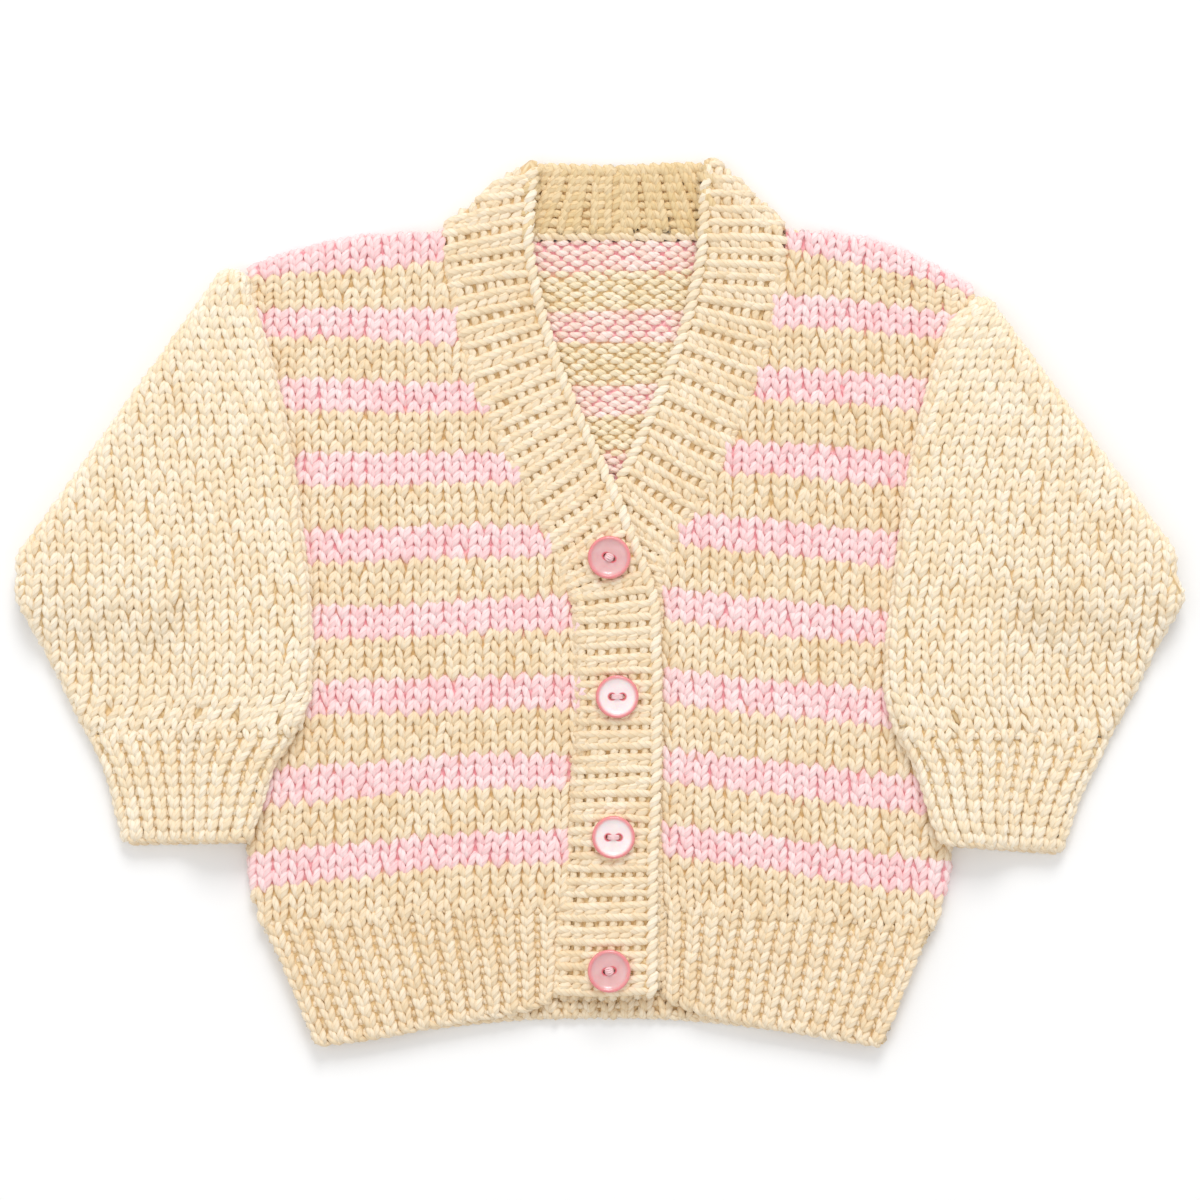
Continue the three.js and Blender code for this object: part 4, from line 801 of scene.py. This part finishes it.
class CARDIGAN_OT_back(bpy.types.Operator):
    """Makes the back, with its purl side showing in the neck, and the ribbing at its hem"""
    bl_idname = "cardigan.back"
    bl_label = "Back"

    def execute(self, context):
        made = palette()
        wide, tall = sizes()[:2]
        back = cloth("back", made["striped"], 0.3, cuts=5, dye=pinkness(BACK_STRIPES))
        welt = cloth("back_welt", made["ground"], 0.5)
        plan = plan_of("back")
        place = stripe_place(BACK_STRIPES, 0)
        halves = range(-80, 4)
        cells = np.array([(c + 0.5 * (k % 2), k / 2 + 0.25) for k in halves for c in range(-11, 13)], float)
        slots = is_pink(cells[:, 1]).astype(int)
        covers = [(plan_of("right_front"), 4.0), (plan_of("left_front"), 4.0)]
        inside = [made["cream_inside"], made["pink_inside"]]
        # Each row shows on the purl side as arches, with the next row's dips between them
        for part, first, sign in (("arches", 0, 1), ("dips", 1, -1)):
            shape = [{**row, "up": row["up"] * sign * 0.6, "aside": row["aside"] * 0.92} for row in PURL]
            mine = (np.arange(len(cells)) // 24) % 2 == first
            knit("back_purl_" + part, plan, place, cells[mine], 0.8, slots[mine], inside, 11 + first, shape,
                             covers, 1.4, mirrored=False, thick=0.95, lift=-0.05)
        welt_plan = plan_of("back_welt")
        rib_place = level_place(welt_plan, 30, 11, (-147.0, -147.0), (-108.0, -108.0), 1.2)
        pieces = rib_knit("back_welt", welt_plan, rib_place, range(7, 24), range(0, 6), 13, 1.2, turn=1.6)
        line = np.array([(x, -145.2 - 0.0012 * x * x, 1.6) for x in np.linspace(-60, 60, 60)])
        edge = links("back_hem_edge", line, np.tile([0, -0.35, 0.94], (60, 1)), made["cream"], 15, radius=1.15)
        flat = np.column_stack([np.linspace(-27, 36, 60), np.full(60, 127.9)])
        seam = links("back_neck_seam", np.column_stack([flat, np.full(60, 2.6)]), np.tile([0, 0, 1.0], (60, 1)),
                     made["cream"], 17, pitch=4.6, radius=1.5, lean=0.3, arch=0.5)
        return {"FINISHED"}


class CARDIGAN_OT_fronts(bpy.types.Operator):
    """Knits the two striped fronts"""
    bl_idname = "cardigan.fronts"
    bl_label = "Fronts"

    def execute(self, context):
        made = palette()
        for name, table, sign, seed in (("right", RIGHT_STRIPES, -1, 21), ("left", LEFT_STRIPES, 1, 31)):
            plan = plan_of(name + "_front")
            over = plan_of(*JOINED[name])
            piece = cloth(name + "_front", made["striped"], 0.15, cuts=3, dye=pinkness(table))
            place = stripe_place(table, sign)
            columns = range(-25, 1) if sign < 0 else range(3, 26)
            cells = grid_cells(columns, range(-69, 5))
            slots = is_pink(np.minimum(cells[:, 1], -0.5)).astype(int)
            inner = -60 if sign < 0 else 70

            def rim(spots, plan=plan, inner=inner, sign=sign):
                seamed = smooth(0, 20, sign * (spots[:, 0] - inner))
                low = smooth(-112, -104, spots[:, 1])
                return 0.8 + 1.9 * seamed * low

            stitches = knit(name + "_front_stitches", plan, place, cells, rim, slots, [made["cream"], made["pink"]], seed,
                            hidden=[(plan_of(name + "_sleeve"), 9.0), (plan_of(name + "_cuff"), 7.0)], over=over)
        return {"FINISHED"}


class CARDIGAN_OT_welts(bpy.types.Operator):
    """Knits the ribbing at the hems of the fronts"""
    bl_idname = "cardigan.welts"
    bl_label = "Front welts"

    def execute(self, context):
        made = palette()
        for name, seed in (("right", 41), ("left", 51)):
            piece = cloth(name + "_front_welt", made["ground"], 0.15)
            plan, over = plan_of(name + "_front_welt"), plan_of(*JOINED[name])
            place = band_place(WELTS[name], WELT_ROWS)
            pieces = rib_knit(name + "_front_welt", plan, place, range(WELT_RIBS), range(WELT_ROWS), seed, 1.4, bump=0.3,
                              thick=0.97, over=over, sink=0.5, low=1.0)
            top = place(np.linspace(0.2, WELT_RIBS - 0.2, 100), np.full(100, WELT_ROWS + 0.08))
            pieces.append(seam_yarn(name + "_welt_seam", over, top, made["cream"], seed + 7))
            side = place(np.full(60, 0.0 if name == "left" else WELT_RIBS), np.linspace(0.5, WELT_ROWS, 60))
            pieces.append(seam_yarn(name + "_welt_side", over, side, made["cream"], seed + 8, radius=1.35, lower=1.0))
            ends = place(np.linspace(0.15, WELT_RIBS - 0.15, 80), np.full(80, 0.1))
            tops, outs = plan.drape(ends, np.full(80, 1.4))
            edge = links(name + "_hem_edge", tops, outs, made["cream"], seed + 5, pitch=4.4, radius=1.3, lean=0.55)
        return {"FINISHED"}


class CARDIGAN_OT_bands(bpy.types.Operator):
    """Knits the button and buttonhole bands, with their bound-off edges"""
    bl_idname = "cardigan.bands"
    bl_label = "Bands"

    def execute(self, context):
        made = palette()
        for name, table, sign, seed in (("button_band", BUTTON_BAND, 1, 61), ("buttonhole_band", BUTTONHOLE_BAND, -1, 71)):
            piece = cloth(name, made["ground"], 0.15)
            plan, over = plan_of(name), plan_of(*JOINED["left" if sign > 0 else "right"])
            front, neck = band_place(table["front"]), band_place(table["neck"])
            fold = [neck(np.array([table["neck"][0]["ribs"]]), np.array([row]))[0] for row in (0.0, BAND_ROWS)]

            def rim(spots, fold=fold):
                return 0.7 + 2.4 * (1 - smooth(4, 9, away_from(spots, *fold)))

            cover = [(BandCover(BUTTONHOLE_BAND["front"], 23, 1), 3.0)] if name == "button_band" else []
            last = int(table["front"][-1]["ribs"])
            pieces = rib_knit(name + "_front", plan, front, range(last), range(BAND_ROWS - 1), seed, rim, cover, 1.9, BAND_LEG,
                              0.58, 1.12, over=over, sink=-0.15, low=1.12)
            first, end = int(table["neck"][0]["ribs"]), int(table["neck"][-1]["ribs"])
            behind = [(BandCover(table["front"], last, -sign), 2.6)]
            pieces += rib_knit(name + "_neck", plan, neck, range(first, end), range(BAND_ROWS), seed + 20, 0.7, behind, 1.6,
                               BAND_LEG, 0.58, 1.1, "painted_shade_cream_neck", sink=-0.15, low=1.1)
            pieces += band_edges(name, plan, table, front, neck, made, seed)
        return {"FINISHED"}


def seam_yarn(name, over, flat, material, seed, radius=1.55, lower=1.35):
    """The yarn that joins two pieces: it fills the valley between them, just below their stitches."""
    tops = over.bridged(flat)
    line = np.column_stack([flat, np.convolve(np.pad(tops, 4, mode="edge"), np.ones(9) / 9, mode="valid") - lower])
    return links(name, line, np.tile([0.0, 0.0, 1.0], (len(line), 1)), material, seed, pitch=2.5, radius=radius, lean=0.25,
                 arch=0.25)


def away_from(spots, start, end):
    """Distance from a straight line between two places."""
    along = end - start
    share = np.clip(((spots - start) @ along) / (along @ along), 0, 1)
    return np.linalg.norm(spots - start - share[:, None] * along, axis=1)


def band_edges(name, plan, table, front, neck, made, seed):
    """The bound-off edge along a band's free side, as far as the fold and behind the neck."""
    fold = table["neck"][0]["ribs"]
    first, last = fold + 0.5, table["neck"][-1]["ribs"]
    joined = plan_of(*JOINED["left" if name == "button_band" else "right"])
    pieces = [seam_yarn(name + "_seam", joined, front(np.linspace(0.3, fold - 2.5, 300), np.full(300, -0.06)),
                        made["cream"], seed + 6, lower=0.9)]
    ends = neck(np.full(2, fold), np.array([-0.2, float(BAND_ROWS)]))
    ridge = np.linspace(ends[0], ends[1], 60)
    tops, outs = plan.drape(ridge + plan.inward(ridge) * 1.3, np.full(60, 2.2))
    pieces.append(links(name + "_fold", tops, outs, made["cream"], seed + 8, pitch=4.4, radius=1.5, lean=0.35, arch=0.3))
    for part, place, run, colour in (("front", front, np.linspace(0, fold - 0.2, 400), "painted_light_cream"),
                                     ("neck", neck, np.linspace(first, last, 100), "painted_shade_cream_neck")):
        flat = place(run, np.full(len(run), BAND_ROWS - 0.32))
        line = settled(plan, flat)
        outs = np.tile([0.0, 0.0, 1.0], (len(line), 1))
        pieces.append(links(f"{name}_{part}_edge", line, outs, made[colour], seed + 3, pitch=3.9, radius=1.6, lean=0.42,
                            arch=0.5))
    if name == "button_band":
        flat = neck(np.full(30, last), np.linspace(0.2, BAND_ROWS - 0.4, 30))
        line = settled(plan, flat + [1.0, 0.0])
        line[:, 0] = flat[:, 0] - 0.2
        pieces.append(links("centre_back_join", line, np.tile([0.0, 0.0, 1.0], (30, 1)), made["painted_shade_cream_neck"], seed + 4,
                            pitch=4.2, radius=1.75, lean=0.5, arch=0.6))
    return pieces


def settled(plan, flat, lower=0.0):
    """A line that lies on a piece, with its small steps smoothed out."""
    tops = between(plan.height(flat))
    tops = np.convolve(np.pad(tops, 6, mode="edge"), np.ones(13) / 13, mode="valid")
    return np.column_stack([flat, tops - lower])


class BandCover:
    """Part of a band as a cover over what lies under its free edge, up to a rib. side is the side that is covered from."""

    def __init__(self, table, last, side):
        place = band_place(table)
        self.line = place(np.linspace(0, last, 100), np.full(100, float(BAND_ROWS)))
        self.side = side

    def inset(self, spots):
        edge = np.interp(spots[:, 1], self.line[:, 1], self.line[:, 0])
        return np.where(spots[:, 1] < self.line[-1, 1], self.side * (edge - spots[:, 0]), -50)


class CARDIGAN_OT_sleeves(bpy.types.Operator):
    """Knits the two sleeves"""
    bl_idname = "cardigan.sleeves"
    bl_label = "Sleeves"

    def execute(self, context):
        made = palette()
        for name, sign, seed in (("right", -1, 81), ("left", 1, 91)):
            piece = cloth(name + "_sleeve", made["ground"], 0.15)
            plan = plan_of(name + "_sleeve")
            place = sleeve_place(plan, sign, np.array([(e["across"], e["up"]) for e in EYELETS[name]]))
            cells = grid_cells(range(-2, 21), range(-13, 31))
            stitches = knit(name + "_sleeve_stitches", plan, place, cells, fold_rim(sign), np.zeros(len(cells), int),
                            [made["painted_light_cream"]], seed, turn=2.5, over=plan_of(name + "_sleeve", name + "_cuff"))
        return {"FINISHED"}


class CARDIGAN_OT_cuffs(bpy.types.Operator):
    """Knits the ribbing at the wrists"""
    bl_idname = "cardigan.cuffs"
    bl_label = "Cuffs"

    def execute(self, context):
        made = palette()
        for name, seed in (("right", 101), ("left", 111)):
            piece = cloth(name + "_cuff", made["ground"], 0.15)
            plan = plan_of(name + "_cuff")
            place = level_place(plan, CUFF_RIBS, CUFF_ROWS, CUFFS[name]["lower"], CUFFS[name]["upper"], 2.8)
            over = plan_of(name + "_sleeve", name + "_cuff")
            pieces = rib_knit(name + "_cuff", plan, place, range(-1, CUFF_RIBS + 1), range(CUFF_ROWS), seed, 2.6, turn=2.3,
                              bump=0.3, thick=0.96, colour="painted_light_cream", over=over, sink=0.55, low=1.0)
            top = place(np.linspace(0.5, CUFF_RIBS - 0.5, 60), np.full(60, CUFF_ROWS + 0.05))
            pieces.append(seam_yarn(name + "_cuff_seam", over, top, made["painted_light_cream"], seed + 7))
            flat = place(np.linspace(-0.2, CUFF_RIBS + 0.2, 60), np.full(60, 0.15))
            tops, outs = plan.drape(flat, np.full(60, 2.6))
            edge = links(name + "_cuff_edge", tops + outs * 0.2, outs, made["cream"], seed + 5, pitch=3.4)
            under = tops.copy()
            under[:, 2] = 1.6
            lower = links(name + "_cuff_lower_edge", under - [0, 1.2, 0], outs, made["cream"], seed + 6, pitch=3.4)
        return {"FINISHED"}


HOLES = {True: 1.85, False: 1.25}  # a button's holes are this far from its middle, in mm: pearly ones and the others
BUTTONS = [
    {"across": 3.2, "up": 171.2, "turn": -24, "pearly": False},
    {"across": 6.0, "up": 122.7, "turn": 0, "pearly": True},
    {"across": 4.7, "up": 73.7, "turn": 0, "pearly": True},
    {"across": 3.2, "up": 27.1, "turn": 12, "pearly": False},
]
# A button's section, from the centre of its back, over its rim, to the centre of its face, in shares of its radius
BUTTON_SECTION = [
    {"out": 0.0, "up": 0.0}, {"out": 0.80, "up": 0.0}, {"out": 0.93, "up": 0.05}, {"out": 0.99, "up": 0.14},
    {"out": 1.0, "up": 0.22}, {"out": 0.985, "up": 0.30}, {"out": 0.95, "up": 0.35}, {"out": 0.90, "up": 0.372},
    {"out": 0.86, "up": 0.355}, {"out": 0.82, "up": 0.32}, {"out": 0.77, "up": 0.283}, {"out": 0.70, "up": 0.25},
    {"out": 0.60, "up": 0.225}, {"out": 0.48, "up": 0.21}, {"out": 0.0, "up": 0.2},
]


class CARDIGAN_OT_buttons(bpy.types.Operator):
    """Makes the four buttons and the thread that holds them"""
    bl_idname = "cardigan.buttons"
    bl_label = "Buttons"

    def execute(self, context):
        radius = context.scene.cardigan.button_width / 2
        for i, button in enumerate(BUTTONS, 1):
            low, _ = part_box(f"button_{i}")
            spot = Vector((button["across"] * MM, (button["up"] - CENTRE_UP) * MM, low.z + 0.3 * MM))
            piece = button_piece(f"button_{i}_moulded", radius, HOLES[button["pearly"]], button_material(button["pearly"]))
            piece.matrix_world.translation = spot
            piece.rotation_euler.z = math.radians(button["turn"])
            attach(piece, "root")
            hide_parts(f"button_{i}")
            button_thread(i, button, spot, radius)
        return {"FINISHED"}


def button_piece(name, radius, holes, material):
    """A disc turned from its section, with two holes cut through."""
    steps = 96
    profile = [(row["out"] * radius, row["up"] * radius) for row in BUTTON_SECTION]
    angles = 2 * np.pi * np.arange(steps) / steps
    inner = profile[1:-1]
    points = [(0, 0, profile[0][1])] + [(r * math.cos(a), r * math.sin(a), z) for r, z in inner for a in angles]
    points.append((0, 0, profile[-1][1]))
    last = len(points) - 1
    faces = [(0, 1 + (k + 1) % steps, 1 + k) for k in range(steps)]
    for ring in range(len(inner) - 1):
        start = 1 + ring * steps
        faces += [(start + k, start + (k + 1) % steps, start + steps + (k + 1) % steps, start + steps + k)
                  for k in range(steps)]
    start = 1 + (len(inner) - 1) * steps
    faces += [(start + k, start + (k + 1) % steps, last) for k in range(steps)]
    mesh = bpy.data.meshes.new(name)
    mesh.from_pydata(points, [], faces)
    piece = bpy.data.objects.new(name, mesh)
    bpy.context.scene.collection.objects.link(piece)
    for side in (-1, 1):
        cutter = hole_cutter(side * holes * MM)
        modifier = piece.modifiers.new("hole", "BOOLEAN")
        modifier.operation, modifier.object, modifier.solver = "DIFFERENCE", cutter, "EXACT"
        done = bpy.data.meshes.new_from_object(piece.evaluated_get(bpy.context.evaluated_depsgraph_get()))
        piece.modifiers.clear()
        piece.data = done
        bpy.data.objects.remove(cutter)
    piece.data.polygons.foreach_set("use_smooth", np.ones(len(piece.data.polygons), bool))
    piece.data.set_sharp_from_angle(angle=math.radians(50))
    piece.data.materials.clear()
    piece.data.materials.append(material)
    return piece


def hole_cutter(across):
    steps, radius, low, high = 24, 0.95 * MM, -2 * MM, 6 * MM
    angles = 2 * np.pi * np.arange(steps) / steps
    points = [(across + radius * math.cos(a), radius * math.sin(a), z) for z in (low, high) for a in angles]
    faces = [(k, (k + 1) % steps, steps + (k + 1) % steps, steps + k) for k in range(steps)]
    faces += [tuple(reversed(range(steps))), tuple(range(steps, 2 * steps))]
    mesh = bpy.data.meshes.new("cutter")
    mesh.from_pydata(points, [], faces)
    cutter = bpy.data.objects.new("cutter", mesh)
    bpy.context.scene.collection.objects.link(cutter)
    return cutter


def button_thread(number, button, spot, radius):
    """Strands of pink thread between a button's holes."""
    turn = math.radians(button["turn"])
    way = np.array([math.cos(turn), math.sin(turn), 0.0])
    aside = np.array([-way[1], way[0], 0.0])
    shares = np.array([-1.0, -0.8, -0.4, 0.0, 0.4, 0.8, 1.0])
    heights_mm = np.array([-1.0, 0.15, 0.5, 0.6, 0.5, 0.15, -1.0])
    face = spot.z / MM + BUTTON_SECTION[-1]["up"] * radius / MM
    centre = np.array([spot.x / MM, spot.y / MM, face])
    strands = []
    # The thread of the rosy buttons is bunched into a knot
    bunched = 0.0 if button["pearly"] else 1.0
    for k in (-1.5, -0.5, 0.5, 1.5):
        spread = 0.37 * k * (1 + 0.95 * bunched * (1 - shares ** 2))
        rise = heights_mm + bunched * 0.45 * (1 - shares ** 2) * (2.25 - k * k) / 2
        strands.append(centre + shares[:, None] * way * (HOLES[button["pearly"]] + 0.1) + spread[:, None] * aside
                       + np.array([0, 0, 1.0]) * rise[:, None])
    spots = np.array(strands)
    outs = np.zeros_like(spots)
    outs[..., 2] = 1
    return yarns(f"button_{number}_thread", spots, outs, 0.3 + 0.08 * bunched, np.zeros(4, int), [thread_material()], 130 + number, sides=8)


def thread_material():
    """Two-ply cotton sewing thread, matt with a fine twist."""
    if "thread" not in STORE:
        STORE["thread"] = yarn_material("two_ply_cotton_thread", linear("#f6c4c8"), linear("#e0959c"), linear("#fbdcdd"))
    return STORE["thread"]


def button_material(pearly):
    """Cast polyester button, tumbled smooth. Mica in it gives the dished face a soft cloud of pearl, and the rim, which
    is thicker, shows a deeper pink."""
    key = f"button {pearly}"
    if key in STORE:
        return STORE[key]
    material, tree = fresh("cast_polyester_pearl" if pearly else "cast_polyester_rose")
    place = node(tree, "ShaderNodeTexCoord")
    split = node(tree, "ShaderNodeSeparateXYZ", {0: place.outputs["Object"]})
    flat = node(tree, "ShaderNodeCombineXYZ", {0: split.outputs[0], 1: split.outputs[1]})
    out = node(tree, "ShaderNodeVectorMath", {0: flat.outputs[0]}, operation="LENGTH")
    rim = node(tree, "ShaderNodeMapRange", {0: out.outputs["Value"]}, interpolation_type="SMOOTHSTEP", input_1=0.0057,
               input_2=0.0069)
    cloud = node(tree, "ShaderNodeTexNoise", {"Vector": place.outputs["Object"]}, input_Scale=190.0, input_Detail=2.0,
                 input_Distortion=0.6)
    pearl = node(tree, "ShaderNodeMapRange", {0: cloud.outputs[0]}, input_1=0.1, input_2=0.9)
    face, glow = (("#f4dcdc", "#fff3f2") if pearly else ("#dba2a2", "#ecbfbe"))
    middle = node(tree, "ShaderNodeMix", {"Factor": pearl.outputs[0]}, data_type="RGBA", input_6=linear(face),
                  input_7=linear(glow))
    edge = node(tree, "ShaderNodeMix", {"Factor": pearl.outputs[0]}, data_type="RGBA", input_6=linear("#e27a80"),
                input_7=linear("#ee9a9c"))
    whole = node(tree, "ShaderNodeMix", {"Factor": rim.outputs[0], 6: middle.outputs[2], 7: edge.outputs[2]},
                 data_type="RGBA")
    # Painted shade at the holes: a deep coral ring round each hole stands in for the shade in it, tinted by the light
    # that comes through the pink body and glows coral at the walls
    side = node(tree, "ShaderNodeMath", {0: split.outputs[0]}, operation="ABSOLUTE")
    gap = node(tree, "ShaderNodeMath", {0: side.outputs[0]}, operation="SUBTRACT", input_1=HOLES[pearly] * MM)
    near = node(tree, "ShaderNodeCombineXYZ", {0: gap.outputs[0], 1: split.outputs[1]})
    ring = node(tree, "ShaderNodeVectorMath", {0: near.outputs[0]}, operation="LENGTH")
    painted_hole_shade = node(tree, "ShaderNodeMapRange", {0: ring.outputs["Value"]}, interpolation_type="SMOOTHSTEP", input_1=0.0011,
                input_2=0.0018, input_3=1.0, input_4=0.0)
    colour = node(tree, "ShaderNodeMix", {"Factor": painted_hole_shade.outputs[0], 6: whole.outputs[2]}, data_type="RGBA",
                  input_7=linear("#dc5a66"))
    shader = node(tree, "ShaderNodeBsdfPrincipled", {"Base Color": colour.outputs[2]}, input_Roughness=0.22,
                  input_IOR=1.54)
    shader.inputs["Coat Weight"].default_value = 0.4
    shader.inputs["Coat Roughness"].default_value = 0.08
    shader.inputs["Subsurface Weight"].default_value = 0.2
    shader.inputs["Subsurface Scale"].default_value = 0.002
    finished(tree, shader)
    STORE[key] = material
    return material


class CARDIGAN_OT_stage(bpy.types.Operator):
    """Makes the pale floor, the soft light and the camera"""
    bl_idname = "cardigan.stage"
    bl_label = "Stage"

    def execute(self, context):
        mesh = bpy.data.meshes.new("floor")
        mesh.from_pydata([(-3, -3, 0), (3, -3, 0), (3, 3, 0), (-3, 3, 0)], [], [(0, 1, 2, 3)])
        floor = bpy.data.objects.new("floor", mesh)
        floor.location.z = -0.0003
        context.scene.collection.objects.link(floor)
        material, tree = fresh("matt_painted_board")
        # Matt white paint on board: nearly even, with a faint mottle from the roller
        place = node(tree, "ShaderNodeTexCoord")
        cloud = node(tree, "ShaderNodeTexNoise", {"Vector": place.outputs["Object"]}, input_Scale=6.0)
        colour = node(tree, "ShaderNodeMix", {"Factor": cloud.outputs[0]}, data_type="RGBA", input_6=linear("#f8f8f8"),
                      input_7=linear("#fbfbfb"))
        finished(tree, node(tree, "ShaderNodeBsdfPrincipled", {"Base Color": colour.outputs[2]}, input_Roughness=0.9))
        mesh.materials.append(material)
        world = bpy.data.worlds.new("studio")
        world.use_nodes = True
        world.node_tree.nodes["Background"].inputs[0].default_value = (1.0, 1.0, 1.0, 1.0)
        world.node_tree.nodes["Background"].inputs[1].default_value = 0.77
        context.scene.world = world
        for name, spot, size, power in (("key", (0.25, 2.9, 2.4), 1.5, 62.0), ("fill", (-1.0, -0.1, 1.7), 1.4, 3.0)):
            lamp = bpy.data.lights.new(name, "AREA")
            lamp.size, lamp.energy = size, power
            light = bpy.data.objects.new(name, lamp)
            light.location = spot
            light.rotation_euler = (Vector((0, 0, 0)) - Vector(spot)).to_track_quat("-Z", "Y").to_euler()
            context.scene.collection.objects.link(light)
        lens = bpy.data.cameras.new("camera")
        lens.lens, lens.sensor_width = 100, 36
        camera = bpy.data.objects.new("camera", lens)
        camera.location = (0, 0.00035, 0.42 * 100 / 36 + 0.006)
        context.scene.collection.objects.link(camera)
        context.scene.camera = camera
        context.scene.view_settings.view_transform = "Standard"
        return {"FINISHED"}


class CARDIGAN_PT_panel(bpy.types.Panel):
    """Lists the steps that make the cardigan"""
    bl_idname = "CARDIGAN_PT_panel"
    bl_label = "Cardigan"
    bl_space_type = "VIEW_3D"
    bl_region_type = "UI"
    bl_category = "Cardigan"

    def draw(self, context):
        for name in CardiganSettings.__annotations__:
            self.layout.prop(context.scene.cardigan, name)
        for step in OPERATORS:
            self.layout.operator(step.bl_idname)


OPERATORS = (CARDIGAN_OT_back, CARDIGAN_OT_fronts, CARDIGAN_OT_welts, CARDIGAN_OT_bands, CARDIGAN_OT_sleeves,
             CARDIGAN_OT_cuffs, CARDIGAN_OT_buttons, CARDIGAN_OT_stage)
CLASSES = (CardiganSettings, *OPERATORS, CARDIGAN_PT_panel)


def register():
    for made in CLASSES:
        bpy.utils.register_class(made)
    bpy.types.Scene.cardigan = bpy.props.PointerProperty(type=CardiganSettings)


def unregister():
    del bpy.types.Scene.cardigan
    for made in reversed(CLASSES):
        bpy.utils.unregister_class(made)


def main():
    register()
    for step in OPERATORS:
        group, name = step.bl_idname.split(".")
        getattr(getattr(bpy.ops, group), name)()
    bpy.context.view_layer.update()


if __name__ == "__main__":
    main()
